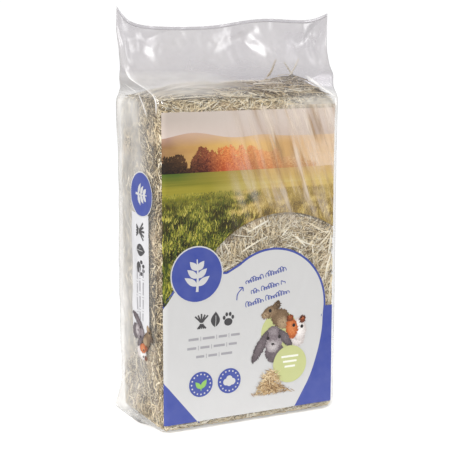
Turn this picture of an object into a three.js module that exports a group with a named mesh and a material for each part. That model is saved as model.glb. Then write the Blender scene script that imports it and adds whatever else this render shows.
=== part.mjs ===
// A small square bale of compressed meadow hay, shrink-packed in one clear film bag.
//
// The bale is a single pressed block. The film hugs it, gathers over the crowned top
// and stands up as a flat tail, where the two layers are fused along a narrow weld.
// A few stalks, leaf blades and seed heads have worked loose and lie on the crown,
// under the film. Millimetres, +Z up, +X to the right of the printed front, which
// faces -Y. The origin is the middle of the flat base.

import * as THREE from "three";
import { mergeVertices } from "three/addons/utils/BufferGeometryUtils.js";

// ---------------------------------------------------------------- driving sizes
const BAG_WIDTH = 210; // over the film, across the printed front
const BAG_DEPTH = 114; // over the film, front to back
const FILM_WALL = 0.7; // thickened from the real 0.08 so that it is a sound solid
const BASE_ROUND = 8; // radius where the walls turn under the flat base
const CORNER_ROUND = 8; // radius of the four upright edges
const SHOULDER_HEIGHT = 335; // where the walls start to turn in over the top

const HAY_GAP = 1.3; // clear of the film on every side
const HAY_FLOOR = 1.2; // underside of the block
const HAY_EDGE_HEIGHT = 343; // top of the block at its long edges
const HAY_CROWN = 14; // how far the springy middle stands above those edges
const HAY_ROUND = 11;
const HAY_LUMP = 0.5; // pressed hay is never quite flat

const TAIL_HALF_WIDTH = 127;
const TAIL_TOP = 417; // lowest stretch of the top edge
const WELD_BAND = 3; // height of the fused strip
const WELD_HALF = 0.8; // half its thickness
const PIECE_GAP = 0.3; // between pieces that touch

// ---------------------------------------------------------------- materials
const material = (name, colour, roughness, extra = {}) =>
  new THREE.MeshStandardMaterial({ name, color: colour, roughness, metalness: 0, ...extra });

const HAY = material("hay", 0xa59a72, 0.9);
const STRAW = material("straw", 0xd9cba0, 0.6);
const SEED = material("seed", 0x9c8560, 0.8);
const FILM = material("film", 0xdadade, 0.15, { transparent: true, opacity: 0.3 });

const part = new THREE.Group();

function addMesh(name, geometry, look) {
  const mesh = new THREE.Mesh(geometry, look);
  mesh.name = name;
  part.add(mesh);
  return mesh;
}

// ---------------------------------------------------------------- skins over loops
// A closed skin over successive loops of points. Every loop has the same number of
// points. The first and last loops are closed by fans round the given end points.
function skin(loops, startPoint, endPoint) {
  const around = loops[0].length;
  const points = [...loops.flat(), startPoint, endPoint];
  const start = points.length - 2;
  const end = points.length - 1;
  const index = [];
  for (let k = 0; k < around; k++) {
    const next = (k + 1) % around;
    for (let ring = 0; ring + 1 < loops.length; ring++) {
      const low = ring * around;
      const high = low + around;
      index.push(low + k, low + next, high + next, low + k, high + next, high + k);
    }
    const last = (loops.length - 1) * around;
    index.push(start, next, k, end, last + k, last + next);
  }
  const geometry = new THREE.BufferGeometry().setFromPoints(points);
  geometry.setIndex(index);
  geometry.computeVertexNormals();
  return geometry;
}

const LONG_STEPS = 10; // stretches along the front and back
const SHORT_STEPS = 4; // stretches along the two ends
const ARC_STEPS = 4; // stretches round each upright edge

// Points round a rounded rectangle, anticlockwise from above: half width a, half
// depth b, corner radius r, at the height that heightAt gives for each x.
function roundedLoop(a, b, r, heightAt) {
  const loop = [];
  const corners = [
    { x: a - r, y: b - r, from: 0, steps: SHORT_STEPS },
    { x: -(a - r), y: b - r, from: 90, steps: LONG_STEPS },
    { x: -(a - r), y: -(b - r), from: 180, steps: SHORT_STEPS },
    { x: a - r, y: -(b - r), from: 270, steps: LONG_STEPS },
  ];
  corners.forEach((corner, k) => {
    const before = corners[(k + 3) % 4];
    const turn = THREE.MathUtils.degToRad(corner.from);
    const startX = before.x + r * Math.cos(turn);
    const startY = before.y + r * Math.sin(turn);
    const endX = corner.x + r * Math.cos(turn);
    const endY = corner.y + r * Math.sin(turn);
    for (let i = 1; i < corner.steps; i++) {
      const t = i / corner.steps;
      loop.push([startX + (endX - startX) * t, startY + (endY - startY) * t]);
    }
    for (let i = 0; i <= ARC_STEPS; i++) {
      const angle = turn + (i / ARC_STEPS) * (Math.PI / 2);
      loop.push([corner.x + r * Math.cos(angle), corner.y + r * Math.sin(angle)]);
    }
  });
  return loop.map(([x, y]) => new THREE.Vector3(x, y, heightAt(x)));
}

// ---------------------------------------------------------------- the pressed block
// Height of the crowned top above the block's long edges, at plan position x, y.
const HAY_HALF_WIDTH = BAG_WIDTH / 2 - FILM_WALL - HAY_GAP;
const HAY_HALF_DEPTH = BAG_DEPTH / 2 - FILM_WALL - HAY_GAP;

function crownHeight(x, y) {
  const across = 1 - (y / HAY_HALF_DEPTH) ** 2;
  const along = 1 - (x / HAY_HALF_WIDTH) ** 4;
  return HAY_CROWN * across * along;
}

// Coordinates of grid lines between -half and +half: even along the flat stretch, and
// closing up towards both ends so that the rounded edge gets even angles.
function gridLines(half, flatSteps, roundSteps) {
  const flat = half - HAY_ROUND;
  const lines = [];
  for (let i = 0; i <= flatSteps; i++) lines.push(-flat + (2 * flat * i) / flatSteps);
  for (let k = 1; k <= roundSteps; k++) {
    const reach = flat + HAY_ROUND * Math.tan((k / roundSteps) * (Math.PI / 4));
    lines.push(reach);
    lines.unshift(-reach);
  }
  return lines;
}

function hayBlock() {
  const halfHeight = (HAY_EDGE_HEIGHT - HAY_FLOOR) / 2;
  const half = new THREE.Vector3(HAY_HALF_WIDTH, HAY_HALF_DEPTH, halfHeight);
  const lines = [gridLines(half.x, 7, 2), gridLines(half.y, 4, 2), gridLines(half.z, 9, 2)];
  const steps = lines.map((stops) => stops.length - 1);
  const box = new THREE.BoxGeometry(2, 2, 2, ...steps);
  box.deleteAttribute("normal");
  box.deleteAttribute("uv");
  const position = box.getAttribute("position");
  const flatPart = half.clone().subScalar(HAY_ROUND);
  for (let i = 0; i < position.count; i++) {
    const point = new THREE.Vector3().fromBufferAttribute(position, i);
    point.set(
      lines[0][Math.round(((point.x + 1) / 2) * steps[0])],
      lines[1][Math.round(((point.y + 1) / 2) * steps[1])],
      lines[2][Math.round(((point.z + 1) / 2) * steps[2])],
    );
    const core = point.clone().clamp(flatPart.clone().negate(), flatPart);
    point.sub(core).setLength(HAY_ROUND).add(core);
    const upward = THREE.MathUtils.smoothstep(point.z, flatPart.z - 20, half.z);
    const side = 1 - THREE.MathUtils.smoothstep(Math.abs(point.z), flatPart.z - 20, half.z);
    const lump = HAY_LUMP * Math.sin(point.z / 23 + point.x / 31) * side;
    point.x += Math.abs(point.x) > flatPart.x ? lump : 0;
    point.y += Math.abs(point.y) > flatPart.y ? lump : 0;
    point.z += upward * crownHeight(point.x, point.y);
    position.setXYZ(i, point.x, point.y, point.z + HAY_FLOOR + halfHeight);
  }
  const block = mergeVertices(box, 1e-3);
  block.computeVertexNormals();
  return block;
}

addMesh("hay_block", hayBlock(), HAY);

// ---------------------------------------------------------------- the film bag
// The tail's top edge: a shallow wave, with a pointed ear at each end.
function topEdge(x) {
  const leftEar = 21 * Math.exp(-(x + TAIL_HALF_WIDTH) / 13);
  const rightEar = 15 * Math.exp((x - TAIL_HALF_WIDTH) / 30);
  const hump = 8 * Math.exp(-(((x - 45) / 48) ** 2));
  return TAIL_TOP + leftEar + rightEar + hump;
}

const mouthHeight = (x) => topEdge(x) - WELD_BAND - PIECE_GAP;

// Stations up the bag: height, half width and half depth over the film.
function bagStations() {
  const halfWidth = BAG_WIDTH / 2;
  const halfDepth = BAG_DEPTH / 2;
  const stations = [];
  const roundSteps = 3;
  for (let i = 0; i <= roundSteps; i++) {
    const angle = (i / roundSteps) * (Math.PI / 2);
    const inset = BASE_ROUND * (1 - Math.sin(angle));
    const height = BASE_ROUND * (1 - Math.cos(angle));
    stations.push({ height, a: halfWidth - inset, b: halfDepth - inset });
  }
  const bodySteps = 5;
  for (let i = 1; i <= bodySteps; i++) {
    const height = BASE_ROUND + ((SHOULDER_HEIGHT - BASE_ROUND) * i) / bodySteps;
    stations.push({ height, a: halfWidth, b: halfDepth });
  }
  // Over the shoulder, up the slack tent above the crown, and into the flat tail.
  stations.push(
    { height: 343, a: halfWidth, b: 55.6 },
    { height: 350, a: 106, b: 50.5 },
    { height: 355, a: 109, b: 40 },
    { height: 361, a: 115, b: 28 },
    { height: 367, a: 120, b: 18 },
    { height: 375, a: 122, b: 11.5 },
    { height: 387, a: 125, b: 7.5 },
    { height: 399, a: TAIL_HALF_WIDTH, b: 4.2 },
  );
  return stations;
}

function filmBag() {
  const loopsInset = (wall) => {
    const body = bagStations().map(({ height, a, b }) => {
      const r = Math.min(CORNER_ROUND, b - 1) - wall;
      return roundedLoop(a - wall, b - wall, r, () => Math.max(height, wall));
    });
    const mouthHalfDepth = WELD_HALF + FILM_WALL;
    const r = mouthHalfDepth - 0.1 - wall;
    body.push(roundedLoop(TAIL_HALF_WIDTH - wall, mouthHalfDepth - wall, r, mouthHeight));
    return body;
  };
  const outer = loopsInset(0);
  const inner = loopsInset(FILM_WALL).reverse();
  const base = new THREE.Vector3(0, 0, 0);
  const floor = new THREE.Vector3(0, 0, FILM_WALL);
  return skin([...outer, ...inner], base, floor);
}

addMesh("film_bag", filmBag(), FILM);

// The fused band that closes the tail: a thin strip that follows the top edge.
function topWeld() {
  const steps = 26;
  const halfWidth = TAIL_HALF_WIDTH - 1;
  const along = (i) => -halfWidth + (2 * halfWidth * i) / steps;
  const outline = [];
  for (let i = 0; i <= steps; i++) {
    outline.push(new THREE.Vector2(along(i), topEdge(along(i)) - WELD_BAND));
  }
  for (let i = steps; i >= 0; i--) {
    outline.push(new THREE.Vector2(along(i), topEdge(along(i))));
  }
  const strip = new THREE.ExtrudeGeometry(new THREE.Shape(outline), {
    depth: 2 * WELD_HALF,
    bevelEnabled: false,
  });
  strip.rotateX(Math.PI / 2);
  strip.translate(0, WELD_HALF, 0);
  return strip;
}

addMesh("top_weld", topWeld(), FILM);

// ---------------------------------------------------------------- loose pieces on the crown
// A strand is a skin of oval loops along a smooth curve. Its half width and half
// thickness at each share t of its length come from widthAt and thickAt.
function strand(points, widthAt, thickAt, sides, steps) {
  const curve = new THREE.CatmullRomCurve3(points);
  const up = new THREE.Vector3(0, 0, 1);
  const loops = [];
  for (let i = 0; i <= steps; i++) {
    const t = i / steps;
    const centre = curve.getPoint(t);
    const forward = curve.getTangent(t);
    const across = new THREE.Vector3().crossVectors(up, forward).normalize();
    const over = new THREE.Vector3().crossVectors(forward, across);
    const loop = [];
    for (let k = 0; k < sides; k++) {
      const angle = (k / sides) * 2 * Math.PI;
      loop.push(
        centre
          .clone()
          .addScaledVector(across, widthAt(t) * Math.cos(angle))
          .addScaledVector(over, thickAt(t) * Math.sin(angle)),
      );
    }
    loops.push(loop);
  }
  return skin(loops, curve.getPoint(0), curve.getPoint(1));
}

// A point that rests on the crown at x, y, lifted clear of it.
function onCrown(x, y, lift) {
  const height = HAY_EDGE_HEIGHT + crownHeight(x, y) + HAY_LUMP + lift;
  return new THREE.Vector3(x, y, height);
}

// Each piece: where it starts, what it passes over and where it ends, as x, y, lift.
const STALKS = [
  { r: 1.0, via: [[-84, -22, 2], [-50, -17, 2.4], [-18, -15, 2]] },
  { r: 0.8, via: [[-66, 8, 2], [-38, 12, 2.4], [-6, 19, 2]] },
  { r: 1.2, via: [[-12, -8, 2.2], [24, -3, 2.6], [62, -6, 2.2]] },
  { r: 0.9, via: [[8, 12, 2], [40, 16, 2.4], [74, 13, 2]] },
  { r: 1.0, via: [[20, -21, 2.2], [52, -19, 2.6], [88, -24, 2.2]] },
  { r: 1.1, via: [[66, 0, 2.2], [78, 1, 14], [87, 0, 32]] },
  { r: 0.9, via: [[96, 4, 3.4], [84, 5, 12], [70, 3, 25]] },
];
const BLADES = [
  { w: 2.4, via: [[-92, -4, 1.8], [-72, -9, 3], [-54, -6, 1.8]] },
  { w: 2.0, via: [[-30, 26, 1.8], [-4, 29, 2.6], [22, 26, 1.8]] },
  { w: 2.6, via: [[-40, -3, 1.8], [-30, -1, 2.6], [-18, 2, 1.8]] },
];
const SEED_HEADS = [
  { r: 2.1, via: [[46, 5, 3], [55, 6, 12], [60, 3, 26]] },
  { r: 1.8, via: [[-36, -26, 2.8], [-18, -25, 3], [2, -27, 2.8]] },
];

const route = (piece) => piece.via.map((place) => onCrown(...place));
const label = (name, i) => `${name}_${String(i + 1).padStart(2, "0")}`;

STALKS.forEach((stalk, i) => {
  const radius = (t) => stalk.r * (1 - 0.3 * t);
  addMesh(label("loose_stalk", i), strand(route(stalk), radius, radius, 7, 8), STRAW);
});

BLADES.forEach((blade, i) => {
  const width = (t) => blade.w * Math.max(0.15, Math.sin(Math.PI * Math.min(1, 0.2 + 0.75 * t)));
  addMesh(label("leaf_blade", i), strand(route(blade), width, () => 0.35, 6, 8), STRAW);
});

SEED_HEADS.forEach((head, i) => {
  const stem = 0.6;
  const radius = (t) => stem + (head.r - stem) * Math.sin(Math.PI * Math.max(0, (t - 0.35) / 0.65));
  addMesh(label("seed_head", i), strand(route(head), radius, radius, 8, 10), SEED);
});

export default part;
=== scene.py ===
import math

import bmesh
import bpy
import numpy as np
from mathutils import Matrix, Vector


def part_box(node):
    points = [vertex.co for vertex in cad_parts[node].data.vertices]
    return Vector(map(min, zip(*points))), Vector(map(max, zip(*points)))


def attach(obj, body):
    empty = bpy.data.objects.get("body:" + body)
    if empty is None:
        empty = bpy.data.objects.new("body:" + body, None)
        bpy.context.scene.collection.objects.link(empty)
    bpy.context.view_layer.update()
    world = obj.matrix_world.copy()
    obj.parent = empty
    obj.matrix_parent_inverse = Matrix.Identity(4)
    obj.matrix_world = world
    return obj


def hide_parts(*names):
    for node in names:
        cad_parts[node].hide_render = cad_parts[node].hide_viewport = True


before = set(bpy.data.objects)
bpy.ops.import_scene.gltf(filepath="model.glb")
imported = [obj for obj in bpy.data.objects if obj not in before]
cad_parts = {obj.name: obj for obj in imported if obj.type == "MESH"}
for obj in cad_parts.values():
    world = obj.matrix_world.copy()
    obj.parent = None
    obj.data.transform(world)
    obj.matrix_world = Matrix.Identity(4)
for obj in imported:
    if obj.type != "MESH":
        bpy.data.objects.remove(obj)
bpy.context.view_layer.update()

# ---------------------------------------------------------------- the view
# A long lens a little above the bale's middle and round towards its left side, so
# that the printed front, the left side and a sliver of the crown all show.
CAMERA_SPOT = Vector((-0.5809, -1.1472, 0.4132))
CAMERA_AIM = Vector((0.4439, 0.8817, -0.1598))

camera = bpy.data.objects.new("camera", bpy.data.cameras.new("camera"))
bpy.context.scene.collection.objects.link(camera)
bpy.context.scene.camera = camera
camera.data.lens = 96
camera.data.sensor_width = 36
camera.data.clip_end = 20
camera.location = CAMERA_SPOT
camera.rotation_mode = "QUATERNION"
camera.rotation_quaternion = CAMERA_AIM.to_track_quat("-Z", "Y")
bpy.context.scene.view_settings.view_transform = "Standard"

# ---------------------------------------------------------------- floor and lights
# A white, softly glowing studio floor that melts into a white surround. One large soft
# lamp stands front left, weaker ones to the left and right, and a strip lamp behind.
FLOOR_HALF = 1.5
LAMP_AIM = Vector((0, 0, 0.2))


def link(obj):
    """Puts a new object in the scene and returns it."""
    bpy.context.scene.collection.objects.link(obj)
    return obj


def new_material(name):
    """An empty node material: returns it, its tree and its output's Surface socket."""
    material = bpy.data.materials.new(name)
    material.use_nodes = True
    tree = material.node_tree
    tree.nodes.clear()
    output = tree.nodes.new("ShaderNodeOutputMaterial")
    return material, tree, output.inputs["Surface"]


def add_node(tree, kind, links=(), **values):
    """A node of this kind. values set its input sockets by name or its properties, and
    links are (socket name, output socket) pairs to wire up."""
    node = tree.nodes.new("ShaderNode" + kind)
    for key, value in values.items():
        socket = next((s for s in node.inputs if s.name.replace(" ", "_") == key), None)
        if socket is None:
            setattr(node, key, value)
        else:
            socket.default_value = value
    for key, source in links:
        tree.links.new(source, node.inputs[key])
    return node


floor_material, tree, surface = new_material("studio_floor")
paint = add_node(tree, "BsdfDiffuse", Color=(0.93, 0.93, 0.93, 1))
place = add_node(tree, "TexCoord").outputs["Object"]
away = add_node(tree, "VectorMath", [("Vector", place)], operation="LENGTH")
fade = add_node(tree, "MapRange", [("Value", away.outputs["Value"])], From_Min=0.12, From_Max=0.42)
gone = add_node(tree, "BsdfTransparent")
seen = add_node(tree, "LightPath")
shine = add_node(tree, "MapRange", [("Value", seen.outputs["Is Camera Ray"])], To_Max=0.34)
glow = add_node(tree, "Emission", [("Strength", shine.outputs[0])], Color=(1, 1, 1, 1))
bright = add_node(tree, "AddShader", [(0, paint.outputs[0]), (1, glow.outputs[0])])
sheet = add_node(
    tree, "MixShader", [(0, fade.outputs[0]), (1, bright.outputs[0]), (2, gone.outputs[0])]
)
tree.links.new(sheet.outputs[0], surface)
floor_mesh = bpy.data.meshes.new("floor")
floor_mesh.from_pydata(
    [(x * FLOOR_HALF, y * FLOOR_HALF, 0) for x, y in ((-1, -1), (1, -1), (1, 1), (-1, 1))],
    [],
    [(0, 1, 2, 3)],
)
floor = link(bpy.data.objects.new("floor", floor_mesh))
floor_mesh.materials.append(floor_material)


def soft_lamp(name, spot, size, watts):
    """A rectangular soft lamp at the spot, turned towards the bale."""
    lamp = bpy.data.lights.new(name, "AREA")
    lamp.shape = "RECTANGLE"
    lamp.size, lamp.size_y = size
    lamp.energy = watts
    holder = link(bpy.data.objects.new(name, lamp))
    holder.location = spot
    holder.rotation_mode = "QUATERNION"
    holder.rotation_quaternion = (LAMP_AIM - Vector(spot)).to_track_quat("-Z", "Y")


soft_lamp("key_lamp", (-1.1, -2.0, 1.5), (1.0, 0.9), 42)
soft_lamp("fill_lamp", (2.3, -1.2, 0.8), (0.8, 1.2), 24)
soft_lamp("rim_lamp", (0.5, 1.6, 1.6), (1.4, 0.4), 16)
soft_lamp("side_lamp", (-2.2, -0.2, 1.0), (0.8, 1.2), 33)

world = bpy.data.worlds.new("surround")
bpy.context.scene.world = world
world.use_nodes = True
tree = world.node_tree
tree.nodes.clear()
seen = add_node(tree, "LightPath")
lit = add_node(tree, "Background", Color=(0.9, 0.9, 0.9, 1), Strength=0.46)
white = add_node(tree, "Background", Color=(1, 1, 1, 1), Strength=1.05)
both = add_node(
    tree,
    "MixShader",
    [(0, seen.outputs["Is Camera Ray"]), (1, lit.outputs[0]), (2, white.outputs[0])],
)
tree.links.new(both.outputs[0], add_node(tree, "OutputWorld").inputs["Surface"])

# ---------------------------------------------------------------- the pressed hay block
# Meadow hay pressed into one springy block. Its core is a dense mat of stems too fine
# and too deep to tell apart. The stems that lie on it come in the next section.
hay_low, hay_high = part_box("hay_block")
HAY_HALF = np.array([hay_high.x, hay_high.y])
HAY_ROUND = 0.007
HAY_TOP = 0.343  # top of the block at its long edges
HAY_CROWN = hay_high.z - HAY_TOP
MAT_DEPTH = 0.0045  # the mat's face lies this far in, under the loose stems


def mesh_piece(name, points, loops, sizes, material, uv=None, **attributes):
    """A mesh object from an array of points, the flat list of every face's corners and
    each face's number of corners. uv has one pair per corner. attributes hold one
    number per point."""
    mesh = bpy.data.meshes.new(name)
    mesh.vertices.add(len(points))
    mesh.vertices.foreach_set("co", np.asarray(points, np.float32).ravel())
    mesh.loops.add(len(loops))
    mesh.loops.foreach_set("vertex_index", np.asarray(loops, np.int32))
    mesh.polygons.add(len(sizes))
    starts = np.concatenate([[0], np.cumsum(sizes)[:-1]])
    mesh.polygons.foreach_set("loop_start", starts.astype(np.int32))
    mesh.polygons.foreach_set("use_smooth", np.ones(len(sizes), bool))
    if uv is not None:
        layer = mesh.uv_layers.new(name="UVMap")
        layer.data.foreach_set("uv", np.asarray(uv, np.float32).ravel())
    for key, values in attributes.items():
        layer = mesh.attributes.new(key, "FLOAT", "POINT")
        layer.data.foreach_set("value", np.asarray(values, np.float32).ravel())
    mesh.update(calc_edges=True)
    mesh.materials.append(material)
    piece = link(bpy.data.objects.new(name, mesh))
    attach(piece, "root")
    return piece


def crown(x, y):
    """Height of the block's top over its long edges: a parabola across the depth times
    a flatter fourth-power fall-off towards the two ends, never below nought."""
    across = 1 - (y / HAY_HALF[1]) ** 2
    along = 1 - (x / HAY_HALF[0]) ** 4
    return HAY_CROWN * np.clip(across, 0, 1) * np.clip(along, 0, 1)


def waves(rng, count, shortest, longest):
    """A smooth random field on points in space: a sum of sine waves with random
    directions, phases and wavelengths between the two limits, scaled to about one."""
    direction = rng.normal(size=(count, 3))
    direction /= np.linalg.norm(direction, axis=1, keepdims=True)
    length = rng.uniform(shortest, longest, count)
    turn = direction * (2 * math.pi / length)[:, None]
    phase = rng.uniform(0, 2 * math.pi, count)
    return lambda p: np.sin(p @ turn.T + phase).sum(-1) / math.sqrt(count / 2)


def hay_mat():
    """A box skin of six grids, rounded by pushing every point out from an inner box by
    the edge radius, with its top raised by the crown and its faces made lumpy."""
    lumps = waves(np.random.default_rng(3), 24, 0.014, 0.06)
    half = np.array([*HAY_HALF, HAY_TOP / 2]) - MAT_DEPTH
    core = half - HAY_ROUND
    counts = (70, 40, 110)
    points, loops = [], []
    for axis in range(3):
        a, b = (axis + 1) % 3, (axis + 2) % 3
        for sign in (-1, 1):
            u, v = (
                np.sin(np.linspace(-1, 1, counts[k]) * math.pi / 2 * 0.8) / math.sin(math.pi * 0.4)
                for k in (a, b)
            )
            grid = np.zeros((len(u), len(v), 3))
            grid[..., axis] = sign * half[axis]
            grid[..., a] = u[:, None] * half[a]
            grid[..., b] = v[None, :] * half[b]
            corner = sum(len(p) for p in points)
            index = np.arange(grid[..., 0].size).reshape(len(u), len(v)) + corner
            quad = [index[:-1, :-1], index[1:, :-1], index[1:, 1:], index[:-1, 1:]]
            quad = quad if sign > 0 else quad[::-1]
            loops.append(np.stack(quad, -1).ravel())
            points.append(grid.reshape(-1, 3))
    points, loops = np.concatenate(points), np.concatenate(loops)
    inner = np.clip(points, -core, core)
    out = points - inner
    out /= np.linalg.norm(out, axis=1, keepdims=True)
    points = inner + out * (HAY_ROUND + 0.0012 * lumps(points)[:, None])
    points[:, 2] += HAY_TOP / 2
    lift = np.clip((points[:, 2] - HAY_TOP + 0.03) / 0.03, 0, 1)
    points[:, 2] += lift * crown(points[:, 0], points[:, 1])
    points[:, 2] = np.maximum(points[:, 2], hay_low.z + 0.002)
    return points, loops


def fibre_streaks():
    """Fine streaks in three crossed directions, each a noise field stretched along one
    line. Height is the greatest of the three at each place."""
    group = bpy.data.node_groups.new("fibre_streaks", "ShaderNodeTree")
    group.interface.new_socket("Vector", in_out="INPUT", socket_type="NodeSocketVector")
    fine = group.interface.new_socket("Fineness", in_out="INPUT", socket_type="NodeSocketFloat")
    fine.default_value = 700
    group.interface.new_socket("Height", in_out="OUTPUT", socket_type="NodeSocketFloat")
    start = group.nodes.new("NodeGroupInput")
    end = group.nodes.new("NodeGroupOutput")
    total = None
    for turn, stretch in (((0.5, 0.3, 0.4), 0.07), ((-0.7, 0.9, 1.9), 0.09), ((1.2, -0.4, -0.6), 0.06)):
        mapping = add_node(
            group,
            "Mapping",
            [("Vector", start.outputs["Vector"])],
            vector_type="TEXTURE",
            Rotation=turn,
            Scale=(1, 1, 1 / stretch),
        )
        noise = add_node(
            group,
            "TexNoise",
            [("Vector", mapping.outputs[0]), ("Scale", start.outputs["Fineness"])],
            Detail=3.0,
            Roughness=0.6,
        )
        if total is None:
            total = noise.outputs["Fac"]
        else:
            total = add_node(
                group, "Math", [(0, total), (1, noise.outputs["Fac"])], operation="MAXIMUM"
            ).outputs[0]
    group.links.new(total, end.inputs["Height"])
    return group


STREAKS = fibre_streaks()


def add_group(tree, group, links=(), **values):
    """A group node: values set its inputs by name, and links wire them up."""
    node = tree.nodes.new("ShaderNodeGroup")
    node.node_tree = group
    for key, value in values.items():
        node.inputs[key].default_value = value
    for key, source in links:
        tree.links.new(source, node.inputs[key])
    return node


def add_ramp(tree, source, stops):
    """A colour ramp from (place, colour) stops."""
    node = add_node(tree, "ValToRGB", [("Fac", source)])
    elements = node.color_ramp.elements
    while len(elements) < len(stops):
        elements.new(0.5)
    for element, (place, colour) in zip(elements, stops):
        element.position = place
        element.color = (*colour, 1)
    return node


def mat_material():
    """Matt dry grass: streaks run from a near-black brown-green, painted shade for the deep gaps between
    stems, to pale straw.
    """
    material, tree, surface = new_material("hay_mat")
    place = add_node(tree, "TexCoord").outputs["Object"]
    streaks = add_group(tree, STREAKS, [("Vector", place)], Fineness=620)
    patch = add_node(tree, "TexNoise", [("Vector", place)], Scale=26.0, Detail=2.0)
    mottle = add_node(
        tree,
        "Math",
        [(0, patch.outputs["Fac"]), (2, streaks.outputs[0])],
        operation="MULTIPLY_ADD",
    )
    mottle.inputs[1].default_value = 0.3
    # the darkest stop is painted shade for the deep gaps between stems; the paler stops are the hay's own
    # colour
    colour = add_ramp(
        tree,
        mottle.outputs[0],
        [
            (0.56, (0.13, 0.095, 0.055)),
            (0.66, (0.44, 0.32, 0.19)),
            (0.78, (0.80, 0.64, 0.42)),
            (0.92, (0.93, 0.85, 0.68)),
        ],
    )
    bump = add_node(
        tree, "Bump", [("Height", streaks.outputs[0])], Strength=0.9, Distance=0.002
    )
    paint = add_node(
        tree,
        "BsdfPrincipled",
        [("Base Color", colour.outputs[0]), ("Normal", bump.outputs[0])],
        Roughness=0.85,
    )
    tree.links.new(paint.outputs[0], surface)
    return material


SEAM_GAP = 1e-5  # points closer together than this are one point


def join_seams(piece):
    """Joins points that lie on each other, so that the seams are closed."""
    work = bmesh.new()
    work.from_mesh(piece.data)
    bmesh.ops.remove_doubles(work, verts=work.verts, dist=SEAM_GAP)
    work.to_mesh(piece.data)
    work.free()


points, loops = hay_mat()
hay_core = mesh_piece("hay_core", points, loops, np.full(len(loops) // 4, 4), mat_material())
join_seams(hay_core)
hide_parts("hay_block")

# ---------------------------------------------------------------- the stems on the block
# Dry grass stems, leaf blades and chaff that lie pressed flat on the block's faces and
# wrap round its edges, in layers. Coarse pale stems lie among fine green-brown ones.
STIFF_WIDTH = 0.0015  # stems from this width up don't bend over the block's edges
STEM_FLATNESS = 0.6  # a pressed stem's thickness over its width
# Stems on the two cut sides are shorter, and their tone is lowered as painted shade for the shade among the
# cut ends.
CUT_PAINTED_SHADE, CUT_SHORTER = 0.30, 0.6  # stems on the two narrow sides, which were cut
TOP_MARGIN = 0.006  # stems on the crown stay this far from its ends
TUFT_SPOT, TUFT_SIZE, TUFT_HEIGHT = 0.088, (0.038, 0.034), 0.014


def outline(leg, along, a, b, r):
    """Point and outward normal on a rounded rectangle of half width a, half depth b and
    corner radius r. Even legs 0, 2, 4, 6 are the straight front, right, back and left
    runs, odd legs are the quarter arcs after them, and along goes from 0 to 1."""
    side = leg // 2
    half = np.where(side % 2 == 0, a, b)
    out = np.where(side % 2 == 0, b, a)
    straight = leg % 2 == 0
    angle = np.where(straight, 0, along * math.pi / 2)
    x = np.where(straight, (2 * along - 1) * (half - r), half - r + r * np.sin(angle))
    y = -(out - r) - r * np.cos(angle)
    turn = side * math.pi / 2
    cos, sin = np.cos(turn), np.sin(turn)
    point = np.stack([x * cos - y * sin, x * sin + y * cos], -1)
    nx, ny = np.sin(angle), -np.cos(angle)
    normal = np.stack([nx * cos - ny * sin, nx * sin + ny * cos], -1)
    return point, normal


def legs_at(s, a, b, r):
    """Leg and share along it at distance s round the outline from the front's middle,
    positive to the right. Each leg's length is known, so s is looked up in their sums."""
    front, side, arc = 2 * (a - r), 2 * (b - r), r * math.pi / 2
    lengths = np.array([front, arc, side, arc, front, arc, side, arc])
    ends = np.cumsum(lengths)
    s = (s + front / 2) % ends[-1]
    leg = np.searchsorted(ends, s, side="right").clip(0, 7)
    return leg, (s - (ends - lengths)[leg]) / lengths[leg]


def on_walls(s, z, depth):
    """Point and outward normal on the block's walls, s round them and z up them, at a
    depth inside. Past the rounded top and bottom edges the surface bends inwards."""
    leg, along = legs_at(s, *HAY_HALF, HAY_ROUND)
    flat, flat_normal = outline(leg, along, *HAY_HALF, HAY_ROUND)
    over = np.clip((z - (HAY_TOP - HAY_ROUND)) / HAY_ROUND, 0, math.pi / 2)
    under = np.clip((hay_low.z + HAY_ROUND - z) / HAY_ROUND, 0, math.pi / 2)
    bend = over + under
    inward = HAY_ROUND * (1 - np.cos(bend)) + depth * np.cos(bend)
    normal = np.concatenate(
        [flat_normal * np.cos(bend)[..., None], (np.sin(over) - np.sin(under))[..., None]], -1
    )
    height = np.clip(z, hay_low.z + HAY_ROUND, HAY_TOP - HAY_ROUND)
    height = height + (HAY_ROUND - depth) * (np.sin(over) - np.sin(under))
    past = np.clip(z - (HAY_TOP - HAY_ROUND) - HAY_ROUND * math.pi / 2, 0, None)
    past_low = np.clip(hay_low.z + HAY_ROUND - HAY_ROUND * math.pi / 2 - z, 0, None)
    inward = inward + past + past_low
    point = np.concatenate([flat - flat_normal * inward[..., None], height[..., None]], -1)
    point[..., 2] += np.where(over > 0.6, crown(point[..., 0], point[..., 1]), 0)
    return point, normal


def on_top(x, y, depth):
    """Point and normal on the crowned top: its slopes come from the parabola's own."""
    step = 1e-4
    z = HAY_TOP + crown(x, y) - depth
    slope_x = (crown(x + step, y) - crown(x - step, y)) / (2 * step)
    slope_y = (crown(x, y + step) - crown(x, y - step)) / (2 * step)
    normal = np.stack([-slope_x, -slope_y, np.ones_like(x)], -1)
    normal /= np.linalg.norm(normal, axis=-1, keepdims=True)
    return np.stack([x, y, z], -1), normal


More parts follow.
